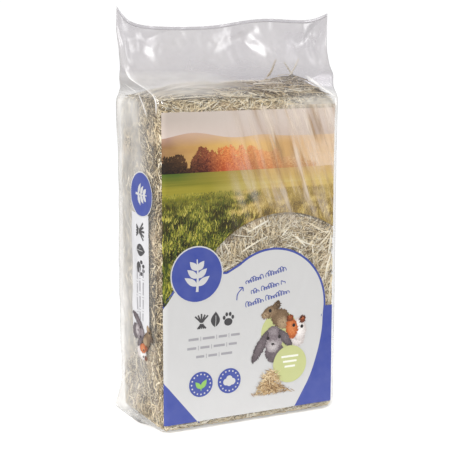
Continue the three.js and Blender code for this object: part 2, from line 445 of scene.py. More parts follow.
def strands(centres, normals, half_width, half_thick, sides):
    """Closed tubes along centre lines, all as one array: round each centre lie `sides`
    points of an oval, wide across the strand and thin along the face's normal. Returns
    points, loops, face sizes and UVs, u round the strand and v along it in metres."""
    count, steps = centres.shape[:2]
    forward = np.gradient(centres, axis=1)
    forward /= np.linalg.norm(forward, axis=-1, keepdims=True)
    across = np.cross(normals, forward)
    across /= np.linalg.norm(across, axis=-1, keepdims=True)
    over = np.cross(forward, across)
    angle = np.arange(sides) / sides * 2 * math.pi + math.pi / 2
    ring = (
        centres[:, :, None]
        + across[:, :, None] * (half_width[..., None] * np.cos(angle))[..., None]
        + over[:, :, None] * (half_thick[..., None] * np.sin(angle))[..., None]
    )
    index = np.arange(count * steps * sides).reshape(count, steps, sides)
    after = np.roll(index, -1, axis=2)
    walls = np.stack([index[:, :-1], after[:, :-1], after[:, 1:], index[:, 1:]], -1)
    caps = np.concatenate([index[:, :1, ::-1], index[:, -1:]], 1)
    length = np.linalg.norm(np.diff(centres, axis=1), axis=-1).cumsum(1)
    length = np.concatenate([np.zeros((count, 1)), length], 1)[:, :, None]
    start = np.arange(count)[:, None, None] * 0.37
    u = np.broadcast_to(np.arange(sides + 1) / sides, (count, steps, sides + 1)) + start
    v = np.broadcast_to(length, u.shape)
    uv = np.stack([u, v], -1)
    wall_uv = np.stack([uv[:, :-1, :-1], uv[:, :-1, 1:], uv[:, 1:, 1:], uv[:, 1:, :-1]], -2)
    cap_uv = np.concatenate([uv[:, :1, -2::-1], uv[:, -1:, :-1]], 1)
    loops = np.concatenate([walls.ravel(), caps.ravel()])
    sizes = np.concatenate([np.full(walls.size // 4, 4), np.full(caps.size // sides, sides)])
    return ring.reshape(-1, 3), loops, sizes, np.concatenate([wall_uv.reshape(-1, 2), cap_uv.reshape(-1, 2)])


def stem_material():
    """Dry grass: the colour of each stem comes from its own tone, streaked along the
    stem and slightly darker near the joints."""
    material, tree, surface = new_material("dry_stems")
    tone = add_node(tree, "Attribute", attribute_name="tone")
    uv = add_node(tree, "UVMap", uv_map="UVMap")
    mapping = add_node(tree, "Mapping", [("Vector", uv.outputs[0])], Scale=(5, 60, 1))
    streak = add_node(tree, "TexNoise", [("Vector", mapping.outputs[0])], Scale=1.0, Detail=3.0)
    toned = add_node(
        tree, "Math", [(0, streak.outputs["Fac"]), (2, tone.outputs["Fac"])], operation="MULTIPLY_ADD"
    )
    toned.inputs[1].default_value = 0.34
    colour = add_ramp(
        tree,
        toned.outputs[0],
        [
            (0.10, (0.13, 0.09, 0.05)),
            (0.3, (0.36, 0.27, 0.15)),
            (0.45, (0.64, 0.51, 0.31)),
            (0.6, (0.87, 0.72, 0.46)),
            (0.8, (0.98, 0.87, 0.65)),
            (1.0, (1.0, 0.94, 0.79)),
        ],
    )
    bump = add_node(
        tree, "Bump", [("Height", streak.outputs["Fac"])], Strength=0.4, Distance=0.0004
    )
    paint = add_node(
        tree,
        "BsdfPrincipled",
        [("Base Color", colour.outputs[0]), ("Normal", bump.outputs[0])],
        Roughness=0.6,
        Specular_IOR_Level=0.3,
    )
    tree.links.new(paint.outputs[0], surface)
    return material


STEMS = stem_material()
PERIMETER = 4 * (HAY_HALF.sum() - 2 * HAY_ROUND) + 2 * math.pi * HAY_ROUND
drift = waves(np.random.default_rng(5), 10, 0.05, 0.16)


def scatter(rng, across, up, span, steps):
    """Centre-line offsets from each stem's middle: a straight run of a random length,
    bent into a shallow arc. Neighbours lie nearly alike, by a slow drift of the angle
    over the block, and nearly half lie any way at all."""
    count = len(across)
    angle = 1.2 + 1.1 * drift(np.stack([across, up, 0 * up], -1)) + rng.normal(0, 0.4, count)
    angle = np.where(rng.random(count) < 0.45, rng.uniform(0, math.pi, count), angle)
    length = rng.uniform(*span, count)
    bend = rng.normal(0, 0.05, count) * length
    t = np.linspace(-0.5, 0.5, steps)
    along = length[:, None] * t
    aside = bend[:, None] * (1 - 4 * t**2)
    cos, sin = np.cos(angle)[:, None], np.sin(angle)[:, None]
    return np.stack([along * cos - aside * sin, along * sin + aside * cos])


def tapered(rng, count, steps, widths):
    """Half widths along each stem: a random width that narrows towards both ends."""
    t = np.linspace(-1, 1, steps)
    half = rng.uniform(*widths, count)[:, None] / 2
    return half * (1 - 0.45 * np.abs(t) ** 3)


def wall_stems(name, seed, count, span, widths, tones, depths, steps, sides=3):
    """One joined mesh of stems laid on the walls at random places and depths. Thick ones
    are too stiff to bend over the block's top and bottom edges. The two narrow sides were
    cut, so their stems are shorter; their stems are also darker, as painted shade."""
    rng = np.random.default_rng(seed)
    s = rng.uniform(0, PERIMETER, count)
    spare = -0.008 if widths[0] > STIFF_WIDTH else 0.005
    z = rng.uniform(hay_low.z - spare, HAY_TOP + spare, count)
    off_side = np.abs(np.abs((s / PERIMETER) % 1 - 0.5) - 0.25)  # nought at a narrow side's middle
    cut_face = off_side < 0.5 * HAY_HALF[1] / HAY_HALF.sum() / 2
    ds, dz = scatter(rng, s, z, span, steps) * np.where(cut_face, CUT_SHORTER, 1.0)[:, None]
    s, z = s[:, None] + ds, z[:, None] + dz
    tilt = rng.normal(0, 0.25, count)[:, None] * np.linspace(-1, 1, steps)
    depth = (rng.uniform(*depths, count)[:, None] + 0.0012 * tilt).clip(0.0008)
    centres, normals = on_walls(s, z, depth)
    half = tapered(rng, count, steps, widths)
    points, loops, sizes, uv = strands(centres, normals, half, half * STEM_FLATNESS, sides)
    # tone lowered on the cut sides: painted shade
    tone = np.repeat(rng.uniform(*tones, count) - CUT_PAINTED_SHADE * cut_face, steps * sides)
    return mesh_piece(name, points, loops, sizes, STEMS, uv, tone=tone)


# name, seed, count, lengths, widths, tones, depths, points along a stem and round it
WALL_BATCHES = (
    ("under_stems_a", 11, 5200, (0.010, 0.034), (0.0007, 0.0016), (0.0, 0.55), (0.0020, 0.0042), 4),
    ("under_stems_b", 12, 5200, (0.010, 0.034), (0.0007, 0.0016), (0.05, 0.6), (0.0020, 0.0042), 4),
    ("upper_stems_a", 13, 5600, (0.006, 0.030), (0.0006, 0.0016), (0.25, 0.95), (0.0008, 0.0026), 4),
    ("upper_stems_b", 14, 5600, (0.006, 0.030), (0.0006, 0.0016), (0.25, 0.95), (0.0008, 0.0026), 4),
    ("coarse_stems", 15, 620, (0.010, 0.034), (0.0016, 0.0028), (0.62, 0.98), (0.0013, 0.0022), 6, 5),
    ("chaff_a", 16, 9000, (0.002, 0.007), (0.0006, 0.0013), (0.0, 0.95), (0.0006, 0.0020), 3),
    ("chaff_b", 17, 9000, (0.002, 0.007), (0.0006, 0.0013), (0.0, 0.95), (0.0006, 0.0020), 3),
)


def kept_inside(lines, limit):
    """Moves whole lines inwards until no point of them is past the limit to either side."""
    over = np.maximum(lines.max(1) - limit, 0) - np.maximum(-limit - lines.min(1), 0)
    return lines - over[:, None]


def top_stems(name, seed, count, span, widths, tones, depths, under):
    """One joined mesh of stems laid on the crown, or under the block if under is true,
    mostly lying along its length. On the crown they heap up near its right end."""
    steps, sides = 5, 3
    rng = np.random.default_rng(seed)
    x = rng.uniform(-1, 1, count) * (HAY_HALF[0] - TOP_MARGIN)
    y = rng.uniform(-1, 1, count) * (HAY_HALF[1] - 0.005)
    dx, dy = scatter(rng, x, y, span, steps)
    x, y = x[:, None] + dx, y[:, None] + dy * 0.6
    x = kept_inside(x, HAY_HALF[0] - TOP_MARGIN)
    y = kept_inside(y, HAY_HALF[1] - 0.004)
    depth = rng.uniform(*depths, count)[:, None] + np.zeros(steps)
    tuft = np.exp(-(((x - TUFT_SPOT) / TUFT_SIZE[0]) ** 2) - (y / TUFT_SIZE[1]) ** 2)
    centres, normals = on_top(x, y, depth - TUFT_HEIGHT * tuft * rng.random(count)[:, None])
    if under:
        centres[..., 2] = hay_low.z + depth
        normals = np.broadcast_to([0.0, 0.0, -1.0], centres.shape)
    half = tapered(rng, count, steps, widths)
    points, loops, sizes, uv = strands(centres, normals, half, half * STEM_FLATNESS, sides)
    tone = np.repeat(rng.uniform(*tones, count), steps * sides)
    return mesh_piece(name, points, loops, sizes, STEMS, uv, tone=tone)


TOP_BATCHES = (
    ("crown_stems", 21, 4600, (0.010, 0.05), (0.0006, 0.0018), (-0.30, 0.90), (-0.0015, 0.004), False),
    ("base_stems", 22, 1800, (0.012, 0.05), (0.0007, 0.002), (0.2, 0.75), (0.001, 0.003), True),
)
for lay, batches in ((wall_stems, WALL_BATCHES), (top_stems, TOP_BATCHES)):
    for batch in batches:
        lay(*batch)

# ---------------------------------------------------------------- the film bag
# One clear polythene bag, pulled tight round the block, gathered over the crown and
# pressed flat into a tail with a pointed ear at each end. It is slack and cloudy where
# it stands off the hay, at the left side's rear half and at the bottom left.
film_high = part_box("film_bag")[1]
BAG = (0.105, 0.057)  # half width and half depth round the walls
BAG_ROUND = 0.008  # the upright corners
BASE_ROUND = 0.008  # the edge round the base
BASE_SEAM = 0.052  # half length of the line that the base is folded from
SHOULDER = 0.335
TAIL_HALF = film_high.x
TAIL_FOOT = 0.375  # where the two layers come together
TAIL_TOP = 0.4165
EDGE_BEAD = 0.003
LEG_STEPS = (126, 8, 60, 8)  # columns on the front, an arc, a side and an arc


def top_edge(x):
    """Height of the tail's top edge: level, with a hump and two ears, each a fall-off."""
    left = 0.021 * np.exp(-(x + TAIL_HALF) / 0.013)
    right = 0.015 * np.exp((x - TAIL_HALF) / 0.030)
    return 0.417 + left + right + 0.008 * np.exp(-(((x - 0.045) / 0.048) ** 2))


def ease(x, low, high):
    """Rises smoothly from nought at low to one at high."""
    t = np.clip((x - low) / (high - low), 0, 1)
    return t * t * (3 - 2 * t)


def crumple(seed, count, shortest, longest, slant):
    """Creased-film relief: waves folded at nought into sharp valleys, each kept to its
    own patches by a slower wave. slant sets how nearly the creases run along z."""
    rng = np.random.default_rng(seed)
    angle = rng.normal(0, slant, count)
    turn = 2 * math.pi / rng.uniform(shortest, longest, count)
    phase = rng.uniform(0, 2 * math.pi, (4, count))
    slow = turn * rng.uniform(0.12, 0.3, count)

    def relief(s, z):
        s, z = np.asarray(s)[..., None], np.asarray(z)[..., None]
        across = s * np.cos(angle) + z * np.sin(angle)
        length = -s * np.sin(angle) + z * np.cos(angle)
        bowed = across * turn / 2 + phase[0] + 0.9 * np.sin(length * slow + phase[1])
        patch = np.sin(across * slow + phase[2]) * np.sin(length * slow * 0.7 + phase[3])
        return (np.abs(np.sin(bowed)) * np.clip(patch, 0, 1) / turn).sum(-1)

    return relief


def ridge(s, z, start, end, height, width):
    """One straight fold from start to end: a tent across it that dies out at its ends."""
    start, end = np.array(start), np.array(end)
    run = end - start
    length = np.hypot(*run)
    share = ((s - start[0]) * run[0] + (z - start[1]) * run[1]) / length**2
    off = np.abs((s - start[0]) * run[1] - (z - start[1]) * run[0]) / length
    fade = np.clip(np.minimum(share, 1 - share) * 5, 0, 1) ** 0.7
    return height * np.clip(1 - off / width, 0, 1) ** 1.4 * fade


SIDE_START = BAG[0] - BAG_ROUND + BAG_ROUND * math.pi / 2  # front corner, along s
SIDE_RUN = 2 * (BAG[1] - BAG_ROUND)
fine_creases = crumple(31, 14, 0.010, 0.026, 0.5)
long_creases = crumple(32, 12, 0.012, 0.030, 0.16)
flat_creases = crumple(33, 10, 0.006, 0.012, 1.57)


def slack(s, z):
    """How loose the film is, nought to one: the rear half of the left side, the top and
    bottom of that side, and a stretch at the top right of the front."""
    behind = 0.07 * ease(-s, SIDE_START + 0.002, SIDE_START + 0.008)
    behind = behind + 0.40 * ease(-s, SIDE_START + 0.014, SIDE_START + 0.056)
    behind = behind + 0.26 * ease(-s, SIDE_START + 0.066, SIDE_START + 0.090)
    behind = behind * (1 - 0.5 * ease(-z, -0.100, -0.050))
    low_left = 0.30 * ease(-s, SIDE_START + 0.010, SIDE_START + 0.06) * ease(-z, -0.06, -0.01)
    high_left = 0.12 * ease(-s, SIDE_START + 0.010, SIDE_START + 0.04) * ease(z, 0.29, 0.335)
    right = 0.36 * ease(s, 0.020, 0.070) * ease(z, 0.305, 0.340)
    rear = ease(np.abs(s), SIDE_START + SIDE_RUN + 0.01, SIDE_START + SIDE_RUN + 0.03)
    left_side = np.maximum.reduce([behind, low_left, high_left]) * (1 - rear)
    return np.maximum.reduce([left_side, right, 0.08 * rear])


def wall_relief(s, z):
    """How far the film stands out from its plain outline at s round it and z up it."""
    loose = slack(s, z)
    relief = 0.10 * fine_creases(s, z) * (0.35 + loose) + 0.22 * long_creases(s, z) * loose
    flap = ease(-s, SIDE_START + 0.004, SIDE_START + 0.03) * (
        1 - ease(-s, SIDE_START + SIDE_RUN - 0.006, SIDE_START + SIDE_RUN + 0.012)
    )
    relief += 0.011 * flap * ease(-z, -0.042, -0.004) ** 1.5
    relief += 0.0035 * ease(-s, SIDE_START + 0.05, SIDE_START + 0.09) * flap * ease(z, 0.28, 0.33)
    for top, foot, low, width in (
        (0.012, 0.030, 0.232, 0.006),
        (0.044, 0.061, 0.222, 0.006),
        (0.066, 0.092, 0.240, 0.005),
    ):
        relief += ridge(s, z, (foot, low), (top, 0.356), 0.0005, width)
    return np.where(z > 0.004, relief, relief * 0.3)


def film_on_walls(s, z):
    """Point on the film's walls, and its outward normal, at s round them and z up."""
    leg, along = legs_at(s, *BAG, BAG_ROUND)
    flat, normal = outline(leg, along, *BAG, BAG_ROUND)
    flat = flat + normal * wall_relief(s, z)[..., None]
    return np.concatenate([flat, z[..., None]], -1), np.concatenate([normal, 0 * z[..., None]], -1)


def smooth_through(stations, samples):
    """Values read along a smooth curve through the stations: a Catmull-Rom blend of
    four neighbours, at evenly spread places."""
    points = np.array(stations)
    ends = np.concatenate([[2 * points[0] - points[1]], points, [2 * points[-1] - points[-2]]])
    place = np.linspace(0, len(points) - 1 - 1e-9, samples)
    k = place.astype(int)
    t = (place - k)[:, None]
    p0, p1, p2, p3 = ends[k], ends[k + 1], ends[k + 2], ends[k + 3]
    return 0.5 * (
        2 * p1 + (p2 - p0) * t + (2 * p0 - 5 * p1 + 4 * p2 - p3) * t**2
        + (3 * p1 - p0 - 3 * p2 + p3) * t**3
    )


def film_rows():
    """Height, half width and half depth of every loop: over the base from its middle
    line, round the base edge, up the walls, over the shoulder and up the tail."""
    flat = np.array(BAG) - BASE_ROUND
    share = np.linspace(0, 1, 9)[:-1]
    base = [(0, BASE_SEAM + (flat[0] - BASE_SEAM) * t, flat[1] * t) for t in share]
    edge = [
        (BASE_ROUND * (1 - math.cos(t)), *(flat + BASE_ROUND * math.sin(t)))
        for t in np.linspace(0, math.pi / 2, 6)
    ]
    walls = [(z, *BAG) for z in np.linspace(BASE_ROUND, SHOULDER, 146)[1:]]
    top = smooth_through(
        [
            (SHOULDER, *BAG),
            (0.343, 0.1053, 0.0560),
            (0.349, 0.1062, 0.0515),
            (0.3545, 0.1090, 0.0420),
            (0.360, 0.1145, 0.0300),
            (0.366, 0.1195, 0.0190),
            (TAIL_FOOT, 0.1220, 0.0110),
            (0.387, 0.1250, 0.0065),
            (0.399, 0.1268, 0.0036),
            (0.410, TAIL_HALF, 0.0016),
            (TAIL_TOP, TAIL_HALF, 0.0),
        ],
        80,
    )
    return np.array([*base, *edge, *walls, *top[1:]])


def tail_shift(x, z):
    """How far the tail lies to the right of the block, more at its right end."""
    return ease(z, 0.350, 0.370) * (0.0034 + 0.0018 * x / TAIL_HALF)


tail_creases = crumple(41, 16, 0.030, 0.085, 0.55)
small_tail_creases = crumple(42, 14, 0.010, 0.026, 0.7)


TAIL_FOLDS = (  # foot, top, height of the fold and width
    ((0.046, 0.362), (0.016, 0.412), 0.0030, 0.012),
    ((0.062, 0.352), (0.044, 0.388), 0.0032, 0.006),
    ((0.070, 0.372), (0.050, 0.398), 0.0024, 0.005),
    ((0.022, 0.366), (0.008, 0.392), 0.0022, 0.006),
    ((0.090, 0.395), (0.118, 0.424), 0.0030, 0.008),
    ((-0.105, 0.352), (-0.122, 0.425), 0.0026, 0.013),
    ((-0.082, 0.372), (-0.106, 0.396), 0.0014, 0.009),
    ((0.112, 0.352), (0.088, 0.390), 0.0035, 0.008),
    ((0.118, 0.355), (0.104, 0.420), 0.0030, 0.008),
    ((0.000, 0.394), (0.036, 0.416), 0.0022, 0.014),
    ((-0.098, 0.402), (-0.070, 0.414), 0.0026, 0.009),
    ((-0.040, 0.370), (0.000, 0.412), -0.0020, 0.014),
)


def tail_bend(x, z):
    """How far the flat tail swings to and fro across its own plane: two slow waves, a
    curl at each ear, crumpling, and the folds that run up from the shoulders."""
    up = ease(z, 0.362, 0.40)
    slow = 0.0035 * np.sin(x / 0.034 + 0.8) + 0.0009 * np.sin(x / 0.015 + 2)
    curl = -0.010 * ease(-x, 0.085, 0.127) + 0.008 * ease(x, 0.088, 0.127)
    soft = 0.40 * tail_creases(x, z) + 0.16 * small_tail_creases(x, z)
    folds = sum(ridge(x, z, *fold) for fold in TAIL_FOLDS)
    return up * (slow + curl) + (0.25 + 0.75 * up) * soft + up * folds


# Painted highlights: milky lines along the shoulder's creases that stand in for the light the creases catch.
SHOULDER_HIGHLIGHTS = (  # milky lines, each from one place round the bag and up it to another
    ((-0.1300, 0.326), (-0.1520, 0.352)),
    ((-0.1510, 0.351), (-0.1830, 0.359)),
    ((-0.1090, 0.330), (-0.1060, 0.375)),
    ((0.0700, 0.366), (0.1010, 0.343)),
    ((0.1010, 0.352), (0.1040, 0.300)),
)


def milkiness(s, x, z):
    """How milky the film is, nought to one, at s round the walls, x across and z up: where
    it is slack, a little all over the tail, over the crown's left, and along lines at its shoulder creases,
    which are painted highlights."""
    haze = slack(s, z) * (1 - ease(z, 0.338, 0.354)) + 0.2 * ease(z, 0.35, 0.385)
    left_crown = (1 - ease(x, -0.060, 0.030)) * ease(z, 0.343, 0.352)
    haze = np.maximum(haze, 0.34 * left_crown * (1 - ease(z, 0.365, 0.38)))
    # painted highlights along the shoulder creases
    creases = [ridge(s, z, start, end, 1.1, 0.0024) for start, end in SHOULDER_HIGHLIGHTS]
    return np.maximum.reduce([haze, *creases])


def film_bag():
    """The bag as a grid: columns at fixed places round it, and loops from film_rows.
    Walls take wall_relief, the tail takes tail_bend on both layers alike. The first and
    the last loop are pressed to a line, where front and back meet and are joined. It
    comes with each point's milkiness and whether two layers lie together there."""
    leg = np.concatenate([np.full(LEG_STEPS[k % 4], k) for k in range(8)])
    along = np.concatenate([(np.arange(LEG_STEPS[k % 4])) / LEG_STEPS[k % 4] for k in range(8)])
    front, side, arc = 2 * (BAG[0] - BAG_ROUND), SIDE_RUN, BAG_ROUND * math.pi / 2
    lengths = np.array([front, arc, side, arc] * 2)
    s = (np.cumsum(lengths) - lengths)[leg] + along * lengths[leg] - front / 2
    s = np.where(s > lengths.sum() / 2, s - lengths.sum(), s)
    height, a, b = film_rows()[..., None].transpose(1, 0, 2)
    r = np.minimum(BAG_ROUND, b * 0.9)
    flat, normal = outline(leg[None], along[None], a, b, r)
    z = np.broadcast_to(height, flat.shape[:2]).copy()
    s = np.broadcast_to(s, z.shape)
    on_wall = 1 - ease(z, 0.338, 0.352)
    on_floor = ease(z, 0.0005, 0.004)
    relief = wall_relief(s, z) * on_wall * (0.25 + 0.75 * on_floor)
    relief = np.where(height <= 1e-6, 0, relief)
    flat = flat + normal * relief[..., None]
    share = np.clip((z - TAIL_FOOT) / (TAIL_TOP - TAIL_FOOT), 0, 1)
    z += share**1.3 * (top_edge(flat[..., 0]) - EDGE_BEAD - TAIL_TOP)
    over = ease(z, 0.340, 0.352) * (1 - ease(z, 0.372, 0.392))
    level = 0.25 * flat_creases(flat[..., 0] * 0.35, z) * over
    flat[..., 1] += tail_bend(flat[..., 0], z) * ease(z, 0.345, 0.375) - level * np.sign(-flat[..., 1])
    flat[..., 0] += tail_shift(flat[..., 0], z)
    points = np.concatenate([flat, z[..., None]], -1)
    haze = milkiness(s, flat[..., 0], z)
    double = ease(z, 0.342, 0.362)
    index = np.arange(z.size).reshape(z.shape)
    after = np.roll(index, -1, axis=1)
    quads = np.stack([index[:-1], after[:-1], after[1:], index[1:]], -1)
    uv = np.stack([s, z], -1)
    wrap = np.stack([uv[:-1], np.roll(uv, -1, 1)[:-1], np.roll(uv, -1, 1)[1:], uv[1:]], -2)
    return points.reshape(-1, 3), quads.ravel(), wrap.reshape(-1, 2), haze.ravel(), double.ravel()


def film_look(name, clearness, bead):
    """Clear glossy film: mostly see-through, mirror-like at a slant, with a milky haze
    that grows where the haze attribute does. bead is the least haze anywhere."""
    material, tree, surface = new_material(name)
    place = add_node(tree, "TexCoord").outputs["Object"]
    loose = add_node(tree, "Attribute", attribute_name="haze")
    cloud = add_node(tree, "TexNoise", [("Vector", place)], Scale=18.0, Detail=3.0)
    milk = add_node(
        tree,
        "Math",
        [(0, loose.outputs["Fac"]), (1, cloud.outputs["Fac"])],
        operation="MULTIPLY",
    )
    amount = add_node(tree, "Math", [(0, milk.outputs[0])], operation="MULTIPLY_ADD")
    amount.inputs[1].default_value = 1.75
    amount.inputs[2].default_value = bead
    ripple = add_node(tree, "TexNoise", [("Vector", place)], Scale=160.0, Detail=2.0)
    bump = add_node(
        tree, "Bump", [("Height", ripple.outputs["Fac"])], Strength=0.12, Distance=0.001
    )
    tail = add_node(tree, "Attribute", attribute_name="double")
    pass_on = add_ramp(tree, tail.outputs["Fac"], [(0, (clearness,) * 3), (1, (0.748, 0.733, 0.752))])
    clear = add_node(tree, "BsdfTransparent", [("Color", pass_on.outputs[0])])
    milky = add_node(tree, "BsdfDiffuse", Color=(0.93, 0.91, 0.88, 1))
    height = add_node(tree, "SeparateXYZ", [("Vector", place)]).outputs["Z"]
    soft = add_node(
        tree, "MapRange", [("Value", height)], From_Min=0.325, From_Max=0.365, To_Min=0.10, To_Max=0.33
    )
    gloss = add_node(
        tree,
        "BsdfGlossy",
        [("Normal", bump.outputs[0]), ("Roughness", soft.outputs[0])],
        Color=(1, 1, 1, 1),
    )
    facing = add_node(tree, "LayerWeight", [("Normal", bump.outputs[0])], Blend=0.5)
    steep = add_node(tree, "Math", [(0, facing.outputs["Facing"])], operation="POWER")
    steep.inputs[1].default_value = 5.0
    slant = add_node(tree, "Math", [(0, steep.outputs[0])], operation="MULTIPLY_ADD", use_clamp=True)
    slant.inputs[1].default_value = 0.9
    slant.inputs[2].default_value = 0.07
    sheet = add_node(
        tree, "MixShader", [(0, amount.outputs[0]), (1, clear.outputs[0]), (2, milky.outputs[0])]
    )
    both = add_node(
        tree, "MixShader", [(0, slant.outputs[0]), (1, sheet.outputs[0]), (2, gloss.outputs[0])]
    )
    tree.links.new(both.outputs[0], surface)
    return material


FILM = film_look("clear_film", 0.96, 0.015)
points, loops, uv, haze, double = film_bag()
sizes = np.full(len(loops) // 4, 4)
bag = mesh_piece("film_wrap", points, loops, sizes, FILM, uv, haze=haze, double=double)
join_seams(bag)
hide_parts("film_bag")

# ---------------------------------------------------------------- the printed front
# Ink printed on the outside of the film: a field under a hazy sky, a round clear window
# on the hay, and a white label panel with a blue rim, a round badge and pictograms.
# Each ink colour is one thin skin that follows the film just over its face.
INK_LIFT = 0.00020  # how far over the film the lowest layer of ink lies
INK_STEP = 0.00009
PRINT_LEFT, PRINT_RIGHT = -0.1022, 0.0982
PRINT_FOOT, PRINT_TOP = 0.010, 0.333
TREE_FOOT = 0.2715
WINDOW_SPOT, WINDOW_RADIUS = (0.036, 0.114), 0.110


def shade(red, green, blue):
    """A colour given on the usual 0 to 255 screen scale, in the linear light scale."""
    value = np.array([red, green, blue]) / 255
    linear = np.where(value > 0.04045, ((value + 0.055) / 1.055) ** 2.4, value / 12.92)
    return tuple(float(v) for v in linear)


def band(left, right, low, high, pitch=0.0022, rows=None):
    """The area between two curves: columns from left to right, each divided evenly
    from low to high. Either curve is a height or a function of the place across."""
    x = np.linspace(left, right, max(2, round((right - left) / pitch) + 1))
    low = low(x) if callable(low) else np.full_like(x, low)
    high = high(x) if callable(high) else np.full_like(x, high)
    rows = rows or max(2, round((high - low).max() / pitch) + 1)
    t = np.linspace(0, 1, rows)[None]
    return np.broadcast_to(x[:, None], (len(x), rows)), low[:, None] + (high - low)[:, None] * t


def spot(x, z, radius, height=None, turn=0.0, around=36, rings=None):
    """A disc or oval: circles of points from the middle out. turn leans an oval over,
    anticlockwise in radians."""
    height = height or radius
    rings = rings or max(2, round(max(radius, height) / 0.003) + 1)
    grow = np.linspace(1e-3, 1, rings)[None]
    angle = np.linspace(0, 2 * math.pi, around + 1)[::-1, None]
    u, v = radius * grow * np.cos(angle), height * grow * np.sin(angle)
    return x + u * math.cos(turn) - v * math.sin(turn), z + u * math.sin(turn) + v * math.cos(turn)


def stroke(points, width, tip=1.0, steps=12):
    """A line of ink along a smooth curve through the points: two edges, half a width
    to each side. The width shrinks to the tip share at the far end."""
    line = smooth_through(points, steps)
    run = np.gradient(line, axis=0)
    run /= np.linalg.norm(run, axis=1, keepdims=True) + 1e-12
    side = np.stack([-run[:, 1], run[:, 0]], -1) * (width / 2 * np.linspace(1, tip, steps))[:, None]
    edges = np.stack([line + side, line - side], 1)
    return edges[::-1, :, 0], edges[::-1, :, 1]


def leaf(base, tip, width):
    """A leaf: two edges that bow out from its midrib like half a sine wave."""
    base, tip = np.array(base), np.array(tip)
    run = tip - base
    side = np.array([-run[1], run[0]]) / np.linalg.norm(run)
    t = np.linspace(0, 1, 14)[:, None]
    bow = np.sin(math.pi * t**0.85) * width / 2
    middle = base + run * t
    edges = np.stack([middle + side * bow, middle - side * bow], 1)
    return edges[::-1, :, 0], edges[::-1, :, 1]


def moved(shapes, x, z, turn=0.0, size=1.0):
    """The same shapes turned, scaled and set down at x, z."""
    cos, sin = math.cos(turn) * size, math.sin(turn) * size
    return [(x + u * cos - v * sin, z + u * sin + v * cos) for u, v in shapes]


def print_ink(name, layers, material):
    """One skin of ink. layers maps a layer number to shapes, and a higher layer lies
    further out. Shapes are grids of places across and up, laid on the film."""
    points, loops, uv = [], [], []
    count = 0
    for layer, shapes in layers.items():
        for across, up in shapes:
            across, up = np.asarray(across, float), np.asarray(up, float)
            spots, normal = film_on_walls(across, up)
            spots = spots + normal * (INK_LIFT + INK_STEP * layer)
            index = np.arange(across.size).reshape(across.shape) + count
            quad = np.stack([index[:-1, :-1], index[1:, :-1], index[1:, 1:], index[:-1, 1:]], -1)
            count += across.size
            points.append(spots.reshape(-1, 3))
            loops.append(quad.ravel())
            uv.append(np.stack([across, up], -1).reshape(-1, 2))
    points, loops, uv = np.concatenate(points), np.concatenate(loops), np.concatenate(uv)
    ink = mesh_piece(name, points, loops, np.full(len(loops) // 4, 4), material, uv[loops])
    return ink


def noise_at(tree, place, scale, detail=3.0, stretch=(1, 1, 1), turn=0.0):
    """A noise value over the print, stretched and turned as asked."""
    grain = tuple(1 / share for share in stretch)
    mapping = add_node(
        tree, "Mapping", [("Vector", place)], vector_type="TEXTURE", Scale=grain, Rotation=(0, 0, turn)
    )
    noise = add_node(tree, "TexNoise", [("Vector", mapping.outputs[0])], Scale=scale, Detail=detail)
    return noise.outputs["Fac"]


def ink_look(name, build):
    """An ink: build(tree, place) gives its colour socket. place is the spot across and
    up the film, in metres."""
    material, tree, surface = new_material(name)
    place = add_node(tree, "UVMap", uv_map="UVMap").outputs[0]
    colour = build(tree, place)
    ripple = noise_at(tree, place, 46, 2.0, (1, 0.5, 1), 0.4)
    bump = add_node(tree, "Bump", [("Height", ripple)], Strength=0.35, Distance=0.002)
    paint = add_node(
        tree, "BsdfPrincipled", [("Base Color", colour), ("Normal", bump.outputs[0])], Roughness=0.3
    )
    tree.links.new(paint.outputs[0], surface)
    return material


def blend_at(tree, amount, first, second):
    """Mixes two colours, or colour sockets, by an amount socket."""
    node = add_node(tree, "Mix", data_type="RGBA")
    tree.links.new(amount, node.inputs[0])
    for socket, value in ((node.inputs[6], first), (node.inputs[7], second)):
        if isinstance(value, tuple):
            socket.default_value = (*value, 1)
        else:
            tree.links.new(value, socket)
    return node.outputs[2]


def ramp_at(tree, place, axis, low, high, soft=None):
    """Nought to one along x or y of the print, from low to high, softened by noise."""
    split = add_node(tree, "SeparateXYZ", [("Vector", place)])
    value = split.outputs[axis]
    if soft is not None:
        shifted = add_node(tree, "Math", [(0, soft), (2, value)], operation="MULTIPLY_ADD")
        shifted.inputs[1].default_value = (high - low) * 0.6
        value = shifted.outputs[0]
    return add_node(tree, "MapRange", [("Value", value)], From_Min=low, From_Max=high).outputs[0]


def sky_ink(tree, place):
    """Hazy lilac-grey, warmer to the right and towards the hills."""
    warm = ramp_at(tree, place, 0, -0.1, 0.1)
    low = ramp_at(tree, place, 1, 0.325, 0.309)
    grey = blend_at(tree, warm, shade(187, 174, 164), shade(220, 207, 198))
    return blend_at(tree, low, grey, shade(206, 190, 180))


def hill_ink(tree, place):
    """Golden hills in evening light: brown-rose at the left, gold in the middle and pale
    peach at the right."""
    spread = ramp_at(tree, place, 0, PRINT_LEFT, PRINT_RIGHT)
    stops = (
        (0.0, shade(138, 102, 70)),
        (0.14, shade(180, 138, 84)),
        (0.3, shade(202, 160, 88)),
        (0.5, shade(232, 192, 126)),
        (0.72, shade(206, 164, 112)),
        (0.95, shade(228, 204, 180)),
    )
    side = add_ramp(tree, spread, stops).outputs[0]
    low = ramp_at(tree, place, 1, 0.312, 0.298)
    crest = blend_at(tree, spread, shade(180, 148, 138), shade(222, 200, 182))
    side = blend_at(tree, low, crest, side)
    rough = noise_at(tree, place, 55, stretch=(1, 2.5, 1))
    return blend_at(tree, ramp_at(tree, place, 0, 0.1, 0.9, rough), side, shade(222, 182, 112))


